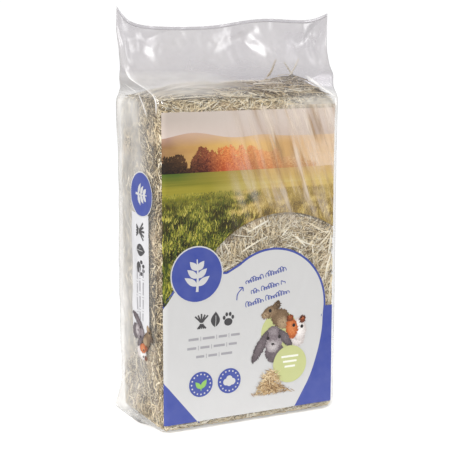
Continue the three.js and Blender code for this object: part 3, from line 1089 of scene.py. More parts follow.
def tree_ink(tree, place):
    """A wood in autumn, every dab of leaves with its own tone: near black at the left,
    through maroon to orange and peach, and thin ochre hedges at the right."""
    tone = add_node(tree, "Attribute", attribute_name="tone").outputs["Fac"]
    spread = ramp_at(tree, place, 0, PRINT_LEFT, PRINT_RIGHT)
    dark = add_ramp(
        tree,
        spread,
        [
            (0.0, shade(16, 10, 7)),
            (0.14, shade(38, 22, 14)),
            (0.25, shade(74, 30, 22)),
            (0.36, shade(184, 84, 44)),
            (0.55, shade(204, 122, 74)),
            (0.75, shade(196, 140, 88)),
        ],
    ).outputs[0]
    light = add_ramp(
        tree,
        spread,
        [
            (0.0, shade(58, 42, 26)),
            (0.12, shade(100, 68, 42)),
            (0.25, shade(158, 86, 56)),
            (0.36, shade(236, 150, 84)),
            (0.55, shade(238, 172, 112)),
            (0.75, shade(230, 200, 152)),
        ],
    ).outputs[0]
    return blend_at(tree, tone, dark, light)


def field_ink(tree, place):
    """The field's ground: a smooth green strip under the wood, level golden bands, then
    the deep olive that shows between the blades, golden at the right."""
    clumps = noise_at(tree, place, 75, 4.0, (1, 0.7, 1))
    right = ramp_at(tree, place, 0, -0.030, 0.03, clumps)
    near = blend_at(tree, right, shade(34, 38, 12), shade(150, 124, 60))
    level = noise_at(tree, place, 60, 3.0, (0.10, 3.6, 1))
    bands = add_node(tree, "MapRange", [("Value", level)], From_Min=0.4, From_Max=0.6).outputs[0]
    side = ramp_at(tree, place, 0, -0.05, 0.03)
    lit = blend_at(tree, side, shade(124, 120, 34), shade(206, 178, 100))
    lit = blend_at(tree, bands, lit, blend_at(tree, side, shade(150, 140, 48), shade(212, 190, 122)))
    strip = blend_at(tree, ramp_at(tree, place, 0, -0.085, -0.025), shade(78, 98, 34), shade(160, 138, 56))
    strip = blend_at(tree, ramp_at(tree, place, 0, -0.02, 0.02), strip, shade(206, 172, 112))
    smooth = ramp_at(tree, place, 1, 0.257, 0.270)
    grown = ramp_at(tree, place, 1, 0.248, 0.228)
    far = blend_at(tree, smooth, lit, strip)
    return blend_at(tree, grown, far, near)


def blade_ink(tree, place):
    """Grass blades: each blade's tone picks its colour from deep to sunlit, green where
    the blade is fresh and dry gold where it is not."""
    tone = add_node(tree, "Attribute", attribute_name="tone").outputs["Fac"]
    dry = add_node(tree, "Attribute", attribute_name="dry").outputs["Fac"]
    green = add_ramp(
        tree,
        tone,
        [
            (0.0, shade(18, 24, 10)),
            (0.3, shade(42, 62, 22)),
            (0.55, shade(84, 102, 30)),
            (0.8, shade(158, 156, 46)),
            (1.0, shade(200, 190, 84)),
        ],
    ).outputs[0]
    gold = add_ramp(
        tree,
        tone,
        [
            (0.0, shade(108, 86, 38)),
            (0.4, shade(156, 130, 62)),
            (0.7, shade(192, 166, 92)),
            (1.0, shade(222, 200, 130)),
        ],
    ).outputs[0]
    return blend_at(tree, dry, green, gold)


def plain(colour, mottle=0.06):
    """An even ink: one colour with a faint cloudy mottle where the ink lies thinner."""

    def build(tree, place):
        paler = tuple(min(1.0, c + mottle * (1 - c)) for c in colour)
        return blend_at(tree, noise_at(tree, place, 70), colour, paler)

    return build


def hill_line(x):
    """The hills' skyline: a broad hump at the left and a lower one right of middle."""
    left = 0.0070 * np.exp(-(((x + 0.068) / 0.030) ** 2))
    right = 0.0026 * np.exp(-(((x - 0.012) / 0.020) ** 2))
    return 0.3050 + left + right


crown_rng = np.random.default_rng(52)
CROWN_SPOTS = np.arange(-0.100, 0.075, 0.0068)
CROWN_SPOTS = CROWN_SPOTS + crown_rng.uniform(-0.002, 0.002, len(CROWN_SPOTS))
CROWN_WIDTHS = crown_rng.uniform(0.0055, 0.0085, len(CROWN_SPOTS))
CROWN_SHARES = crown_rng.uniform(0.82, 1.08, len(CROWN_SPOTS))


def tree_line(x):
    """The wood's skyline: a row of half ovals, one for each crown. They are low at the
    far left, tall from there to the middle, lower beyond it and a hedge at the right."""
    tall = (
        0.0168 * (1 - ease(CROWN_SPOTS, -0.082, -0.074))
        + 0.0238 * ease(CROWN_SPOTS, -0.074, -0.058) * (1 - ease(CROWN_SPOTS, 0.004, 0.016))
        + 0.0185 * ease(CROWN_SPOTS, 0.004, 0.016) * (1 - ease(CROWN_SPOTS, 0.026, 0.036))
        + 0.0095 * ease(CROWN_SPOTS, 0.026, 0.036) * (1 - ease(CROWN_SPOTS, 0.050, 0.075))
    )
    share = 1 - ((np.asarray(x)[..., None] - CROWN_SPOTS) / CROWN_WIDTHS) ** 2
    crowns = (tall * CROWN_SHARES * np.sqrt(np.clip(share, 0, 1))).max(-1)
    return TREE_FOOT + 0.0028 * (1 - 0.6 * ease(x, 0.05, 0.098)) + crowns


def window_line(x):
    """The field's lower edge: the round window's rim where it passes, or the panel."""
    rim = WINDOW_RADIUS**2 - (x - WINDOW_SPOT[0]) ** 2
    return WINDOW_SPOT[1] + np.sqrt(np.maximum(rim, 0.004**2))


print_ink(
    "ink_sky",
    {0: [band(PRINT_LEFT, PRINT_RIGHT, hill_line, PRINT_TOP)]},
    ink_look("sky_ink", sky_ink),
)
print_ink(
    "ink_hills",
    {0: [band(PRINT_LEFT, PRINT_RIGHT, TREE_FOOT - 0.001, hill_line)]},
    ink_look("hill_ink", hill_ink),
)
print_ink(
    "ink_field",
    {1: [band(PRINT_LEFT, PRINT_RIGHT, window_line, TREE_FOOT, 0.0016)]},
    ink_look("field_ink", field_ink),
)


def dabs(name, base, tip, width, layer, material, **values):
    """Many small leaf-shaped dabs as one skin of ink, each from its base to its tip. Half
    widths along a dab follow a leaf's swell. Later dabs lie a trace further out. values
    hold one number per dab."""
    share = np.array([0, 0.35, 0.7, 1.0])
    swell = np.array([0.4, 1.0, 0.8, 0.15])
    run = tip - base
    side = np.stack([-run[:, 1], run[:, 0]], -1) / np.linalg.norm(run, axis=1, keepdims=True)
    middle = base[:, None] + run[:, None] * share[None, :, None]
    half = side[:, None] * (width[:, None] * swell / 2)[..., None]
    grid = np.stack([middle - half, middle + half], 2)
    spots, normal = film_on_walls(grid[..., 0], grid[..., 1])
    lift = INK_LIFT + INK_STEP * (layer + np.linspace(0, 0.9, len(base)))
    spots = spots + normal * lift[:, None, None, None]
    index = np.arange(len(base) * 8).reshape(-1, 4, 2)
    quads = np.stack([index[:, :-1, 0], index[:, 1:, 0], index[:, 1:, 1], index[:, :-1, 1]], -1).ravel()
    values = {key: np.repeat(value, 8) for key, value in values.items()}
    sizes = np.full(len(quads) // 4, 4)
    uv = grid.reshape(-1, 2)[quads]
    ink = mesh_piece(name, spots.reshape(-1, 3), quads, sizes, material, uv, **values)
    return ink


def wood_leaves(seed, count):
    """Dabs of leaves in the wood: each stands anywhere between the foot and the skyline,
    points roughly up, and is paler the nearer it is to the top of its crown."""
    rng = np.random.default_rng(seed)
    x = rng.uniform(PRINT_LEFT + 0.001, 0.075, count)
    tall = tree_line(x) - TREE_FOOT
    share = rng.random(count) ** 0.8
    base = np.stack([x, TREE_FOOT + tall * share * 0.93], -1)
    lean = rng.normal(0, 0.7, count)
    length = rng.uniform(0.0010, 0.0026, count)
    tip = base + np.stack([np.sin(lean), np.cos(lean)], -1) * length[:, None]
    tip[:, 0] = np.clip(tip[:, 0], PRINT_LEFT, PRINT_RIGHT)
    sunlit = share * np.clip(tall / 0.014, 0, 1)
    tone = np.clip(0.12 + 0.58 * sunlit + rng.normal(0, 0.22, count), 0, 1)
    order = np.argsort(share)
    return base[order], tip[order], rng.uniform(0.0009, 0.0018, count), tone[order]


def wood_heart(x):
    """Height of the wood's shaded inside: a bit over half way up to its skyline."""
    return TREE_FOOT + 0.6 * (tree_line(x) - TREE_FOOT)


WOOD_INK = ink_look("tree_ink", tree_ink)
wood_inside = band(PRINT_LEFT, 0.072, TREE_FOOT - 0.001, wood_heart, 0.001, 4)
print_ink("ink_wood_shade", {0.45: [wood_inside]}, WOOD_INK)
base, tip, width, tone = wood_leaves(53, 5200)
dabs("ink_wood", base, tip, width, 0.6, WOOD_INK, tone=tone)

grass_patches = waves(np.random.default_rng(54), 14, 0.010, 0.045)


def grass_blades(seed, count):
    """Blades over the field, far ones first: each is longer and wider the lower, and so
    the nearer, it stands. Slow waves gather them in dark and light patches. Blades that
    would cross the print's edges or the window are left out."""
    rng = np.random.default_rng(seed)
    x = rng.uniform(PRINT_LEFT, PRINT_RIGHT, count)
    foot = np.maximum(window_line(x), 0.135)
    z = foot + (0.250 - foot) * rng.random(count)
    near = np.clip((0.250 - z) / 0.10, 0, 1)
    length = (0.0018 + 0.0130 * near) * rng.uniform(0.5, 1.4, count)
    lean = rng.normal(0.16, 0.26, count)
    base = np.stack([x, z], -1)
    tip = base + np.stack([np.sin(lean), np.cos(lean)], -1) * length[:, None]
    width = (0.0005 + 0.0012 * near) * rng.uniform(0.7, 1.3, count)
    patch = grass_patches(np.stack([x, 2.2 * z, 0 * z], -1))
    grown = ease(near, 0.0, 0.35)
    rough = 0.10 + 0.20 * grown
    tone = 0.53 + 0.9 * rough * patch + rough * rng.normal(size=count)
    tone -= 0.20 * grown + 0.10 * ease(near, 0.35, 0.9)
    dry = ease(x + 0.012 * patch, -0.030, 0.022) + 0.25 * (1 - near) + rng.normal(0.0, 0.10, count)
    clear = np.hypot(tip[:, 0] - WINDOW_SPOT[0], tip[:, 1] - WINDOW_SPOT[1]) > WINDOW_RADIUS
    keep = clear & (tip[:, 0] > PRINT_LEFT) & (tip[:, 0] < PRINT_RIGHT)
    order = np.argsort(-z[keep])
    values = (base, tip, width, tone.clip(0, 1), dry.clip(0, 1))
    return [value[keep][order] for value in values]


base, tip, width, tone, dry = grass_blades(55, 14000)
dabs("ink_grass", base, tip, width, 1.05, ink_look("blade_ink", blade_ink), tone=tone, dry=dry)

PANEL_SPOT = np.array([-0.004, 0.080])


def even_line(corners, count):
    """The same path with evenly spaced points."""
    gone = np.concatenate([[0], np.hypot(*np.diff(corners, axis=0).T).cumsum()])
    even = np.linspace(0, gone[-1], count)
    return np.stack([np.interp(even, gone, corners[:, k]) for k in (0, 1)], -1)


def panel_edge():
    """The panel's drawn edge: a long flank up from the print's foot, a big round lobe at
    the right, then down behind the badge and on to the print's left edge."""
    turn = np.linspace(math.radians(-8), math.radians(128), 50)
    lobe = np.stack([0.0245 + 0.063 * np.cos(turn), 0.122 + 0.063 * np.sin(turn)], -1)
    rise = [(0.052, 0.0098), (0.0700, 0.0400), (0.0795, 0.0650), (0.0853, 0.0900), lobe[0]]
    flank = smooth_through(rise, 30)
    slope = [(-0.030, 0.1640), (-0.060, 0.1665), (-0.086, 0.1555), (-0.1025, 0.1330)]
    return even_line(np.concatenate([flank[:-1], lobe, slope]), 200)


def panel_fill(rings):
    """The panel's area: its edge, closed along the print's left side and foot, shrunk
    step by step to its middle."""
    closing = [(-0.1025, 0.0560), (-0.0645, 0.0098)]
    edge = panel_edge()
    outside = even_line(np.concatenate([edge, closing, edge[:1]]), 280)
    t = np.linspace(1e-3, 1, rings)[None, :, None]
    grid = (PANEL_SPOT + (outside[:, None] - PANEL_SPOT) * t)[::-1]
    across = np.clip(grid[..., 0], PRINT_LEFT, PRINT_RIGHT)
    return across, np.clip(grid[..., 1], PRINT_FOOT, PRINT_TOP)


def panel_rim(width):
    """A line of ink along the panel's edge, half of it under the panel's own white."""
    across, up = stroke(panel_edge(), width, 1.0, 300)
    return np.clip(across, PRINT_LEFT, PRINT_RIGHT), np.clip(up, PRINT_FOOT, PRINT_TOP)


def sprig(height):
    """A little plant: a stem with pairs of leaves that get smaller towards its top."""
    shapes = [stroke([(0, 0), (0.02 * height, 0.5 * height), (0, height)], 0.09 * height, 0.4)]
    for k, up in enumerate((0.18, 0.42, 0.66)):
        reach = (0.42 - 0.09 * k) * height
        for side in (-1, 1):
            tip = (side * reach, up * height + 0.28 * height)
            shapes.append(leaf((0.01 * height, up * height), tip, 0.2 * height))
    return shapes


def leaf_sign(size):
    """Two stout leaves on one stalk."""
    return [
        leaf((0, 0.1 * size), (-0.52 * size, 0.72 * size), 0.4 * size),
        leaf((0, 0.1 * size), (0.52 * size, 0.86 * size), 0.44 * size),
        stroke([(0, -0.05 * size), (0, 0.1 * size), (0.05 * size, 0.25 * size)], 0.09 * size),
    ]


def bold_signs():
    """A row of three bold pictures: a tied sheaf, an upright leaf and a paw print."""
    straws = ((-0.0074, -0.0048), (-0.0040, -0.0026), (0, 0), (0.0040, 0.0026), (0.0074, 0.0048))
    sheaf = [
        stroke([(low, 0.0), (0.2 * low, 0.0062), (high, 0.0158 - abs(high) * 0.3)], 0.0017, 1.1, 10)
        for high, low in straws
    ]
    toes = ((-0.0048, 0.0088), (-0.0018, 0.0122), (0.0022, 0.0122), (0.0052, 0.0088))
    paw = [spot(0, 0.0040, 0.0048, 0.0040)] + [spot(x, z, 0.0016, 0.0022) for x, z in toes]
    return moved(sheaf, -0.0150, 0) + [leaf((0.0005, 0), (0.0015, 0.0165), 0.0105)] + moved(paw, 0.0160, 0)


def bold_sign_lines():
    """Pale lines on the bold pictures: the sheaf's string and the leaf's midrib."""
    return [
        stroke([(-0.0180, 0.0066), (-0.0150, 0.0058), (-0.0120, 0.0066)], 0.0010),
        stroke([(0.0004, -0.0008), (0.0012, 0.0060), (0.0013, 0.0125)], 0.0006),
    ]


def scribble(seed, lengths, height):
    """A line of loose coils with gaps, like a pen tried out on paper: each is a circle's
    motion drawn out sideways, with a height that wanders."""
    rng = np.random.default_rng(seed)
    left, shapes = 0.0, []
    for length in lengths:
        turns = round(length / 0.0030)
        t = np.linspace(0, 1, 14 * turns)
        tall = 0.7 + 0.3 * np.sin(2 * math.pi * 1.7 * t + rng.uniform(0, 6))
        x = left + length * t - 0.0013 * np.sin(2 * math.pi * turns * t)
        z = height * tall * (1 - np.cos(2 * math.pi * turns * t)) / 2
        shapes.append(stroke(np.stack([x, z], -1), 0.0009, 1.0, 16 * turns))
        left += length + 0.0042
    return shapes


BADGE_SPOT, BADGE_RADIUS = (-0.0645, 0.1665), 0.0285
ICON_SPOTS = ((-0.0605, 0.0497), (-0.0275, 0.0493))
ICON_RADIUS = 0.0136
# On the left side, places are counted from the front corner, along the wall.
SIDE_BADGE = (-(SIDE_START + 0.0370), 0.2465)
SIDE_STRIP = (-(SIDE_START + 0.0625), -(SIDE_START + 0.0200))
STRIP_FOOT, STRIP_TOP = 0.092, 0.226
SIDE_MIDDLE = sum(SIDE_STRIP) / 2
QUARTER_TURN = -math.pi / 2  # the side's print reads downwards
SIGN_PLACES = ((-0.0445, 0.1090), (SIDE_MIDDLE - 0.0080, 0.1890, QUARTER_TURN, 1.25))


def low_left_corner(x):
    """Top of the blue corner at the lower left: a straight slope, just under the panel."""
    return 0.0563 - (x + 0.1025) * 1.2158


def low_right_corner(x):
    """Top of the blue corner at the lower right: it climbs just under the panel's flank
    and is level beyond it."""
    return np.interp(x, (0.0495, 0.0672, 0.0767, 0.0825, 0.0845), (0.0110, 0.0400, 0.0650, 0.0900, 0.1185))


blue_layers = {
    2.1: [
        band(PRINT_LEFT, -0.0625, PRINT_FOOT, low_left_corner, 0.0020),
        band(0.0495, PRINT_RIGHT, PRINT_FOOT, low_right_corner, 0.0020),
        panel_rim(0.0046),
    ],
    6: [spot(*BADGE_SPOT, BADGE_RADIUS), spot(*SIDE_BADGE, 0.0270, 0.0225)]
    + [spot(*place, ICON_RADIUS) for place in ICON_SPOTS],
    4: moved(scribble(1, (0.020, 0.024), 0.0056), -0.0070, 0.1515, 0.21)
    + moved(scribble(2, (0.008, 0.020, 0.004), 0.0056), -0.0005, 0.1400, 0.19)
    + moved(scribble(3, (0.020, 0.028), 0.0056), -0.0070, 0.1265, 0.20)
    + [
        stroke([(-0.0185, 0.1350), (-0.0175, 0.1415), (-0.0120, 0.1475)], 0.0011),
        stroke([(-0.0160, 0.1480), (-0.0115, 0.1480), (-0.0110, 0.1440)], 0.0011),
    ],
}
print_ink("ink_blue", blue_layers, ink_look("blue_ink", plain(shade(48, 66, 150))))

white_layers = {
    3: [panel_fill(60)],
    5: [spot(*BADGE_SPOT, BADGE_RADIUS + 0.0014), spot(*SIDE_BADGE, 0.0284, 0.0239)],
    7: moved(sprig(0.034), BADGE_SPOT[0], BADGE_SPOT[1] - 0.018)
    + moved(sprig(0.028), SIDE_BADGE[0] - 0.014, SIDE_BADGE[1], QUARTER_TURN)
    + [
        spot(x + 0.0108 * math.cos(angle), z + 0.0108 * math.sin(angle), 0.0009, around=8)
        for x, z in ICON_SPOTS
        for angle in np.arange(16) * math.pi / 8
    ]
    + [
        spot(ICON_SPOTS[1][0] + x, ICON_SPOTS[1][1] + z, 0.0036)
        for x, z in ((-0.0036, -0.0010), (0.0036, -0.0010), (0, 0.0022), (0, -0.0022))
    ],
    9: [shape for place in SIGN_PLACES for shape in moved(bold_sign_lines(), *place)],
}
print_ink("ink_white", white_layers, ink_look("white_ink", plain(shade(202, 201, 200), mottle=0.03)))

# The same white ink as the panel's, given a brighter colour on the left side: painted light that makes up
# for the weaker light there.
side_white_painted_light = {3.1: [band(*SIDE_STRIP, STRIP_FOOT, STRIP_TOP)]}
print_ink("ink_side_white", side_white_painted_light, ink_look("side_white_ink", plain(shade(216, 215, 217), mottle=0.03)))

dark_layers = {4: [shape for place in SIGN_PLACES for shape in moved(bold_signs(), *place)]}
print_ink("ink_dark", dark_layers, ink_look("dark_ink", plain(shade(62, 60, 62), mottle=0.03)))


def dashes(left, right, z, seed):
    """A row of bars of mixed lengths with thin upright rules between some of them, where
    small print would be."""
    rng = np.random.default_rng(seed)
    x, shapes = left, []
    while x < right - 0.004:
        end = min(x + rng.uniform(0.009, 0.014), right)
        shapes.append(band(x, end, z - 0.0013, z + 0.0013, 0.003, 2))
        if end < right - 0.006:
            shapes.append(band(end + 0.0020, end + 0.0027, z - 0.0024, z + 0.0024, 0.003, 2))
        x = end + 0.0047
    return shapes


grey_layers = {
    4: dashes(-0.0745, -0.0150, 0.0985, 1)
    + dashes(-0.0760, -0.0135, 0.0890, 2)
    + dashes(-0.0660, -0.0230, 0.0795, 3)
    + [
        shape
        for k, x in enumerate((-0.0080, -0.0008, 0.0064))
        for shape in moved(dashes(-0.030, 0.026, 0, 10 + k), SIDE_MIDDLE + x, 0.139, QUARTER_TURN)
    ]
}
print_ink("ink_grey", grey_layers, ink_look("grey_ink", plain(shade(158, 156, 160), mottle=0.03)))


def tone_ink(*stops):
    """An ink whose colour each dab takes from its tone, through evenly spread stops."""

    def build(tree, place):
        tone = add_node(tree, "Attribute", attribute_name="tone").outputs["Fac"]
        spread = [(k / (len(stops) - 1), stop) for k, stop in enumerate(stops)]
        return add_ramp(tree, tone, spread).outputs[0]

    return build


# Three small pets: a lop-eared rabbit in front, a brown rodent behind it and a white and
# ginger guinea pig at its side. Each is a few ovals of short hairs. An oval is its
# middle, half width, half height, lean, and its tone in the middle and at the rim.
RABBIT = (
    (0.0030, -0.0120, 0.0115, 0.0110, 0.0, 0.30, 0.22),
    (0.0016, 0.0040, 0.0108, 0.0132, 0.0, 0.52, 0.26),
    (0.0010, 0.0105, 0.0055, 0.0050, 0.0, 0.62, 0.45),
    (-0.0060, -0.0010, 0.0040, 0.0050, 0.0, 0.66, 0.45),
    (0.0080, -0.0005, 0.0038, 0.0050, 0.0, 0.66, 0.45),
    (0.0004, -0.0052, 0.0072, 0.0062, 0.0, 0.92, 0.62),
    (-0.0148, -0.0044, 0.0048, 0.0196, -0.52, 0.34, 0.12),
    (0.0158, 0.0022, 0.0042, 0.0122, 0.65, 0.34, 0.12),
)
RODENT = (
    (0.0100, 0.0250, 0.0112, 0.0100, -0.4, 0.50, 0.30),
    (0.0130, 0.0195, 0.0070, 0.0065, -0.4, 0.80, 0.55),
    (-0.0015, 0.0325, 0.0090, 0.0062, 0.1, 0.62, 0.34),
    (-0.0085, 0.0295, 0.0040, 0.0032, 0.2, 0.82, 0.50),
    (0.0066, 0.0392, 0.0030, 0.0042, -0.2, 0.10, 0.18),
    (0.0030, 0.0385, 0.0018, 0.0028, 0.1, 0.40, 0.25),
)
CAVY_WHITE = (
    (0.0310, 0.0010, 0.0092, 0.0100, 0.0, 0.85, 0.45),
    (0.0325, 0.0100, 0.0090, 0.0130, 0.1, 1.00, 0.50),
)
CAVY_GINGER = (
    (0.0240, 0.0120, 0.0068, 0.0112, 0.15, 0.66, 0.34),
    (0.0218, 0.0235, 0.0036, 0.0030, 0.3, 0.22, 0.05),
    (0.0372, 0.0205, 0.0030, 0.0036, -0.3, 0.12, 0.02),
)
PET_EYES = ((-0.0052, 0.0038), (0.0086, 0.0042), (-0.0030, 0.0338), (0.0262, 0.0148), (0.0362, 0.0125))
PET_PLACES = ((0.0240, 0.0860, 0.0, 1.0), (-0.1540, 0.1010, QUARTER_TURN, 0.74))


def hairs(seed, ovals, place):
    """Short hairs that fill ovals evenly: each lies outwards from its oval's middle and
    a little down. Then all are turned, scaled and set down at the place."""
    rng = np.random.default_rng(seed)
    bases, tips, tones = [], [], []
    for x, z, wide, tall, lean, middle, rim in ovals:
        count = int(wide * tall * 9e6)
        out, angle = np.sqrt(rng.random(count)), rng.uniform(0, 2 * math.pi, count)
        u, v = out * np.cos(angle) * wide, out * np.sin(angle) * tall
        spots = np.stack(moved([(u, v)], 0, 0, lean)[0], -1)
        way = spots / (np.linalg.norm(spots, axis=1, keepdims=True) + 1e-9) + np.array([0, -0.35])
        way += rng.normal(0, 0.25, way.shape)
        bases.append(spots * 0.9 + (x, z))
        tips.append(bases[-1] + way * rng.uniform(0.0010, 0.0019, count)[:, None])
        tones.append(middle + (rim - middle) * out**2 + rng.normal(0, 0.06, count))
    turn, size = place[2], place[3]
    spin = np.array([[math.cos(turn), math.sin(turn)], [-math.sin(turn), math.cos(turn)]]) * size
    base = np.concatenate(bases) @ spin + place[:2]
    tip = np.concatenate(tips) @ spin + place[:2]
    return base, tip, rng.uniform(0.0009, 0.0014, len(base)) * size, np.concatenate(tones).clip(0, 1)


def pet_coat(name, seed, ovals, layer, *stops):
    """One animal's coat, printed on the front and again, smaller, on the left side: an
    even undercoat of its ovals, and the hairs on top."""
    shapes = [spot(x, z, 0.9 * wide, 0.9 * tall, turn=lean) for x, z, wide, tall, lean, *_ in ovals]
    under = [shape for place in PET_PLACES for shape in moved(shapes, *place)]
    print_ink(name + "_under", {layer - 0.5: under}, ink_look(name + "_under_ink", plain(stops[1])))
    parts = zip(*(hairs(seed + k, ovals, place) for k, place in enumerate(PET_PLACES)))
    base, tip, width, tone = (np.concatenate(part) for part in parts)
    dabs(name, base, tip, width, layer, ink_look(name + "_ink", tone_ink(*stops)), tone=tone)


# name, seed, ovals, layer, then the coat's dark, middle and pale colours
for name, seed, ovals, layer, *colours in (
    ("ink_rodent", 61, RODENT, 5, (58, 44, 36), (128, 104, 78), (196, 172, 140)),
    ("ink_cavy_white", 63, CAVY_WHITE, 6, (120, 108, 104), (196, 186, 182), (246, 240, 236)),
    ("ink_cavy_ginger", 65, CAVY_GINGER, 7, (70, 40, 34), (196, 104, 52), (240, 176, 116)),
    ("ink_rabbit", 67, RABBIT, 8, (62, 54, 58), (128, 116, 120), (206, 198, 198)),
):
    pet_coat(name, seed, ovals, layer, *(shade(*colour) for colour in colours))
print_ink(
    "ink_eyes",
    {
        10: [
            shape
            for x, z, turn, size in PET_PLACES
            for shape in moved(
                [spot(u, v, 0.0018, 0.0020, around=12) for u, v in PET_EYES]
                + [spot(0.0004, -0.0030, 0.0019, 0.0012, around=12)],
                x, z, turn, size,
            )
        ]
    },
    ink_look("eye_ink", plain(shade(34, 26, 28), mottle=0.02)),
)
print_ink(
    "ink_pale_green",
    {3.5: [spot(0.0330, 0.0950, 0.0225, around=60, rings=24)], 10.5: [spot(0.0455, 0.0585, 0.0205)]},
    ink_look("pale_green_ink", plain(shade(190, 194, 132))),
)
print_ink(
    "ink_leaf_green",
    {9: moved(leaf_sign(0.0125), ICON_SPOTS[0][0], ICON_SPOTS[0][1] - 0.006)},
    ink_look("leaf_green_ink", plain(shade(136, 186, 84))),
)


HEAP_SPOT = np.array([0.0220, 0.0290])


def straw_heap(seed, count):
    """Straws of a loose heap: each has its middle somewhere under a low dome. Low ones
    lie any way but mostly level, and higher ones lean down towards the heap's sides."""
    rng = np.random.default_rng(seed)
    x = rng.normal(0, 0.0082, count)
    dome = 0.025 * np.exp(-((np.abs(x) / 0.0128) ** 3))
    z = dome * rng.random(count)
    lean = rng.normal(0, 0.75, count) - 30 * x * np.clip(z / 0.02, 0, 1)
    half = rng.uniform(0.0026, 0.0064, count)[:, None] * np.stack([np.cos(lean), np.sin(lean)], -1)
    middle = np.stack([x, z], -1)
    base, tip = middle - half, middle + half
    base[:, 1], tip[:, 1] = np.maximum(base[:, 1], -0.002), np.maximum(tip[:, 1], -0.002)
    tone = np.clip(0.28 + 0.42 * z / 0.026 + rng.normal(0, 0.40, count), 0, 1)
    return base + HEAP_SPOT, tip + HEAP_SPOT, rng.uniform(0.0004, 0.0008, count), tone


base, tip, width, tone = straw_heap(71, 460)
straw_look = ink_look("straw_ink", tone_ink(shade(118, 90, 58), shade(184, 150, 104), shade(226, 206, 168)))
dabs("ink_straw", base, tip, width, 12, straw_look, tone=tone)
print_ink(
    "ink_white_marks",
    {
        11.2: [
            band(0.0350 + x, 0.0560 - x, z - 0.0011, z + 0.0011)
            for x, z in ((0, 0.0670), (0.002, 0.0615), (0.004, 0.0560))
        ]
    },
    ink_look("white_mark_ink", plain(shade(236, 236, 222), mottle=0.02)),
)


def fold_sheen_look():
    """The film's many small slanted creases over the print's upper right, as streaks from
    the upper left to the lower right: pale ones are painted reflections of light that the
    creases catch, brown ones darken the print, and clear film lies between them."""
    material, tree, surface = new_material("fold_veil")
    place = add_node(tree, "UVMap", uv_map="UVMap").outputs[0]
    streaks = noise_at(tree, place, 120, 4.0, (1, 0.11, 1), 0.36)
    kinds = noise_at(tree, place, 95, 2.0, (1, 0.10, 1), 0.30)
    across = ramp_at(tree, place, 0, -0.034, 0.022)
    up = ramp_at(tree, place, 1, 0.198, 0.245)
    there = add_node(tree, "Math", [(0, across), (1, up)], operation="MULTIPLY").outputs[0]
    thin = add_ramp(tree, streaks, [(0.42, (0.08,) * 3), (0.54, (0.30,) * 3), (0.66, (0.66,) * 3)])
    amount = add_node(tree, "Math", [(0, there), (1, thin.outputs[0])], operation="MULTIPLY")
    # brown streaks darken the print; the pale ones are painted reflections of the creases
    brown_to_sheen = [
        (0.38, shade(174, 144, 108)),
        (0.47, shade(226, 208, 186)),
        (0.62, shade(240, 228, 214)),
    ]
    tint = add_ramp(tree, kinds, brown_to_sheen)
    milk = add_node(tree, "BsdfDiffuse", [("Color", tint.outputs[0])])
    clear = add_node(tree, "BsdfTransparent")
    sheet = add_node(
        tree, "MixShader", [(0, amount.outputs[0]), (1, clear.outputs[0]), (2, milk.outputs[0])]
    )
    tree.links.new(sheet.outputs[0], surface)
    return material


# Painted reflections: pale streaks over the print's upper right stand in for light caught by the film's
# creases.
print_ink("fold_veil", {14: [band(-0.034, PRINT_RIGHT, 0.198, 0.337, 0.003)]}, fold_sheen_look())

# ---------------------------------------------------------------- the welded top edge
# The line where the tail's two layers were welded shut: one flat, slightly cloudier bead
# of melted film that runs from ear to ear.
WELD_THICK = 0.0008


def weld_bead():
    """A flat rounded bar along the tail's edge: at each place across lies a ring of eight
    points, EDGE_BEAD tall and WELD_THICK thick, centred in the tail's own bend."""
    x = np.linspace(-TAIL_HALF + 0.0002, TAIL_HALF - 0.0002, 180)
    angle = np.arange(8) / 8 * 2 * math.pi
    up = np.sign(np.sin(angle)) * np.abs(np.sin(angle)) ** 0.6 * EDGE_BEAD / 2
    out = np.cos(angle) * WELD_THICK / 2
    z = (top_edge(x) - EDGE_BEAD / 2)[:, None] + up
    y = tail_bend(x, top_edge(x) - EDGE_BEAD / 2)[:, None] + out
    ring = np.stack([x[:, None] + tail_shift(x[:, None], z), y, z], -1)
    index = np.arange(z.size).reshape(z.shape)
    after = np.roll(index, -1, axis=1)
    walls = np.stack([index[:-1], index[1:], after[1:], after[:-1]], -1)
    caps = np.concatenate([index[0], index[-1, ::-1]])
    sizes = np.concatenate([np.full(walls.size // 4, 4), [8, 8]])
    return ring.reshape(-1, 3), np.concatenate([walls.ravel(), caps]), sizes


points, loops, sizes = weld_bead()
WELD = film_look("welded_film", 0.88, 0.06)
weld = mesh_piece("weld_bead", points, loops, sizes, WELD, double=np.ones(len(points)))
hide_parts("top_weld")

# ---------------------------------------------------------------- loose stalks
# Straw stalks that have worked loose and lie on the crown, and two at the right that
# stand up into the slack film. Each is a closed tube with swollen joints.
STALKS = (
    (0.0010, (-0.084, -0.022, 0.0020), (-0.050, -0.017, 0.0024), (-0.018, -0.015, 0.0020)),
    (0.0008, (-0.066, 0.008, 0.0020), (-0.038, 0.012, 0.0024), (-0.006, 0.019, 0.0020)),
    (0.0012, (-0.012, -0.008, 0.0022), (0.024, -0.003, 0.0026), (0.062, -0.006, 0.0022)),
    (0.0009, (0.008, 0.012, 0.0020), (0.040, 0.016, 0.0024), (0.074, 0.013, 0.0020)),
    (0.0010, (0.020, -0.021, 0.0022), (0.052, -0.019, 0.0026), (0.088, -0.024, 0.0022)),
    (0.0011, (0.066, 0.000, 0.0022), (0.078, 0.001, 0.0140), (0.087, 0.000, 0.0320)),
    (0.0009, (0.096, 0.004, 0.0034), (0.084, 0.005, 0.0120), (0.070, 0.003, 0.0250)),
)


def over_crown(via, steps):
    """A smooth path through (x, y, lift) stations, with each height counted from the
    crown below it."""
    line = smooth_through(via, steps)
    line[:, 2] += HAY_TOP + 0.0005 + crown(line[:, 0], line[:, 1])
    return line


STALK_SIDES = 8
JOINT_PLACES = (0.26, 0.53, 0.8)  # shares of a stalk's length
UP_AND_BACK = np.array([[[0.0, 0.6, 0.8]]])  # never along a stalk, so it can turn its ring


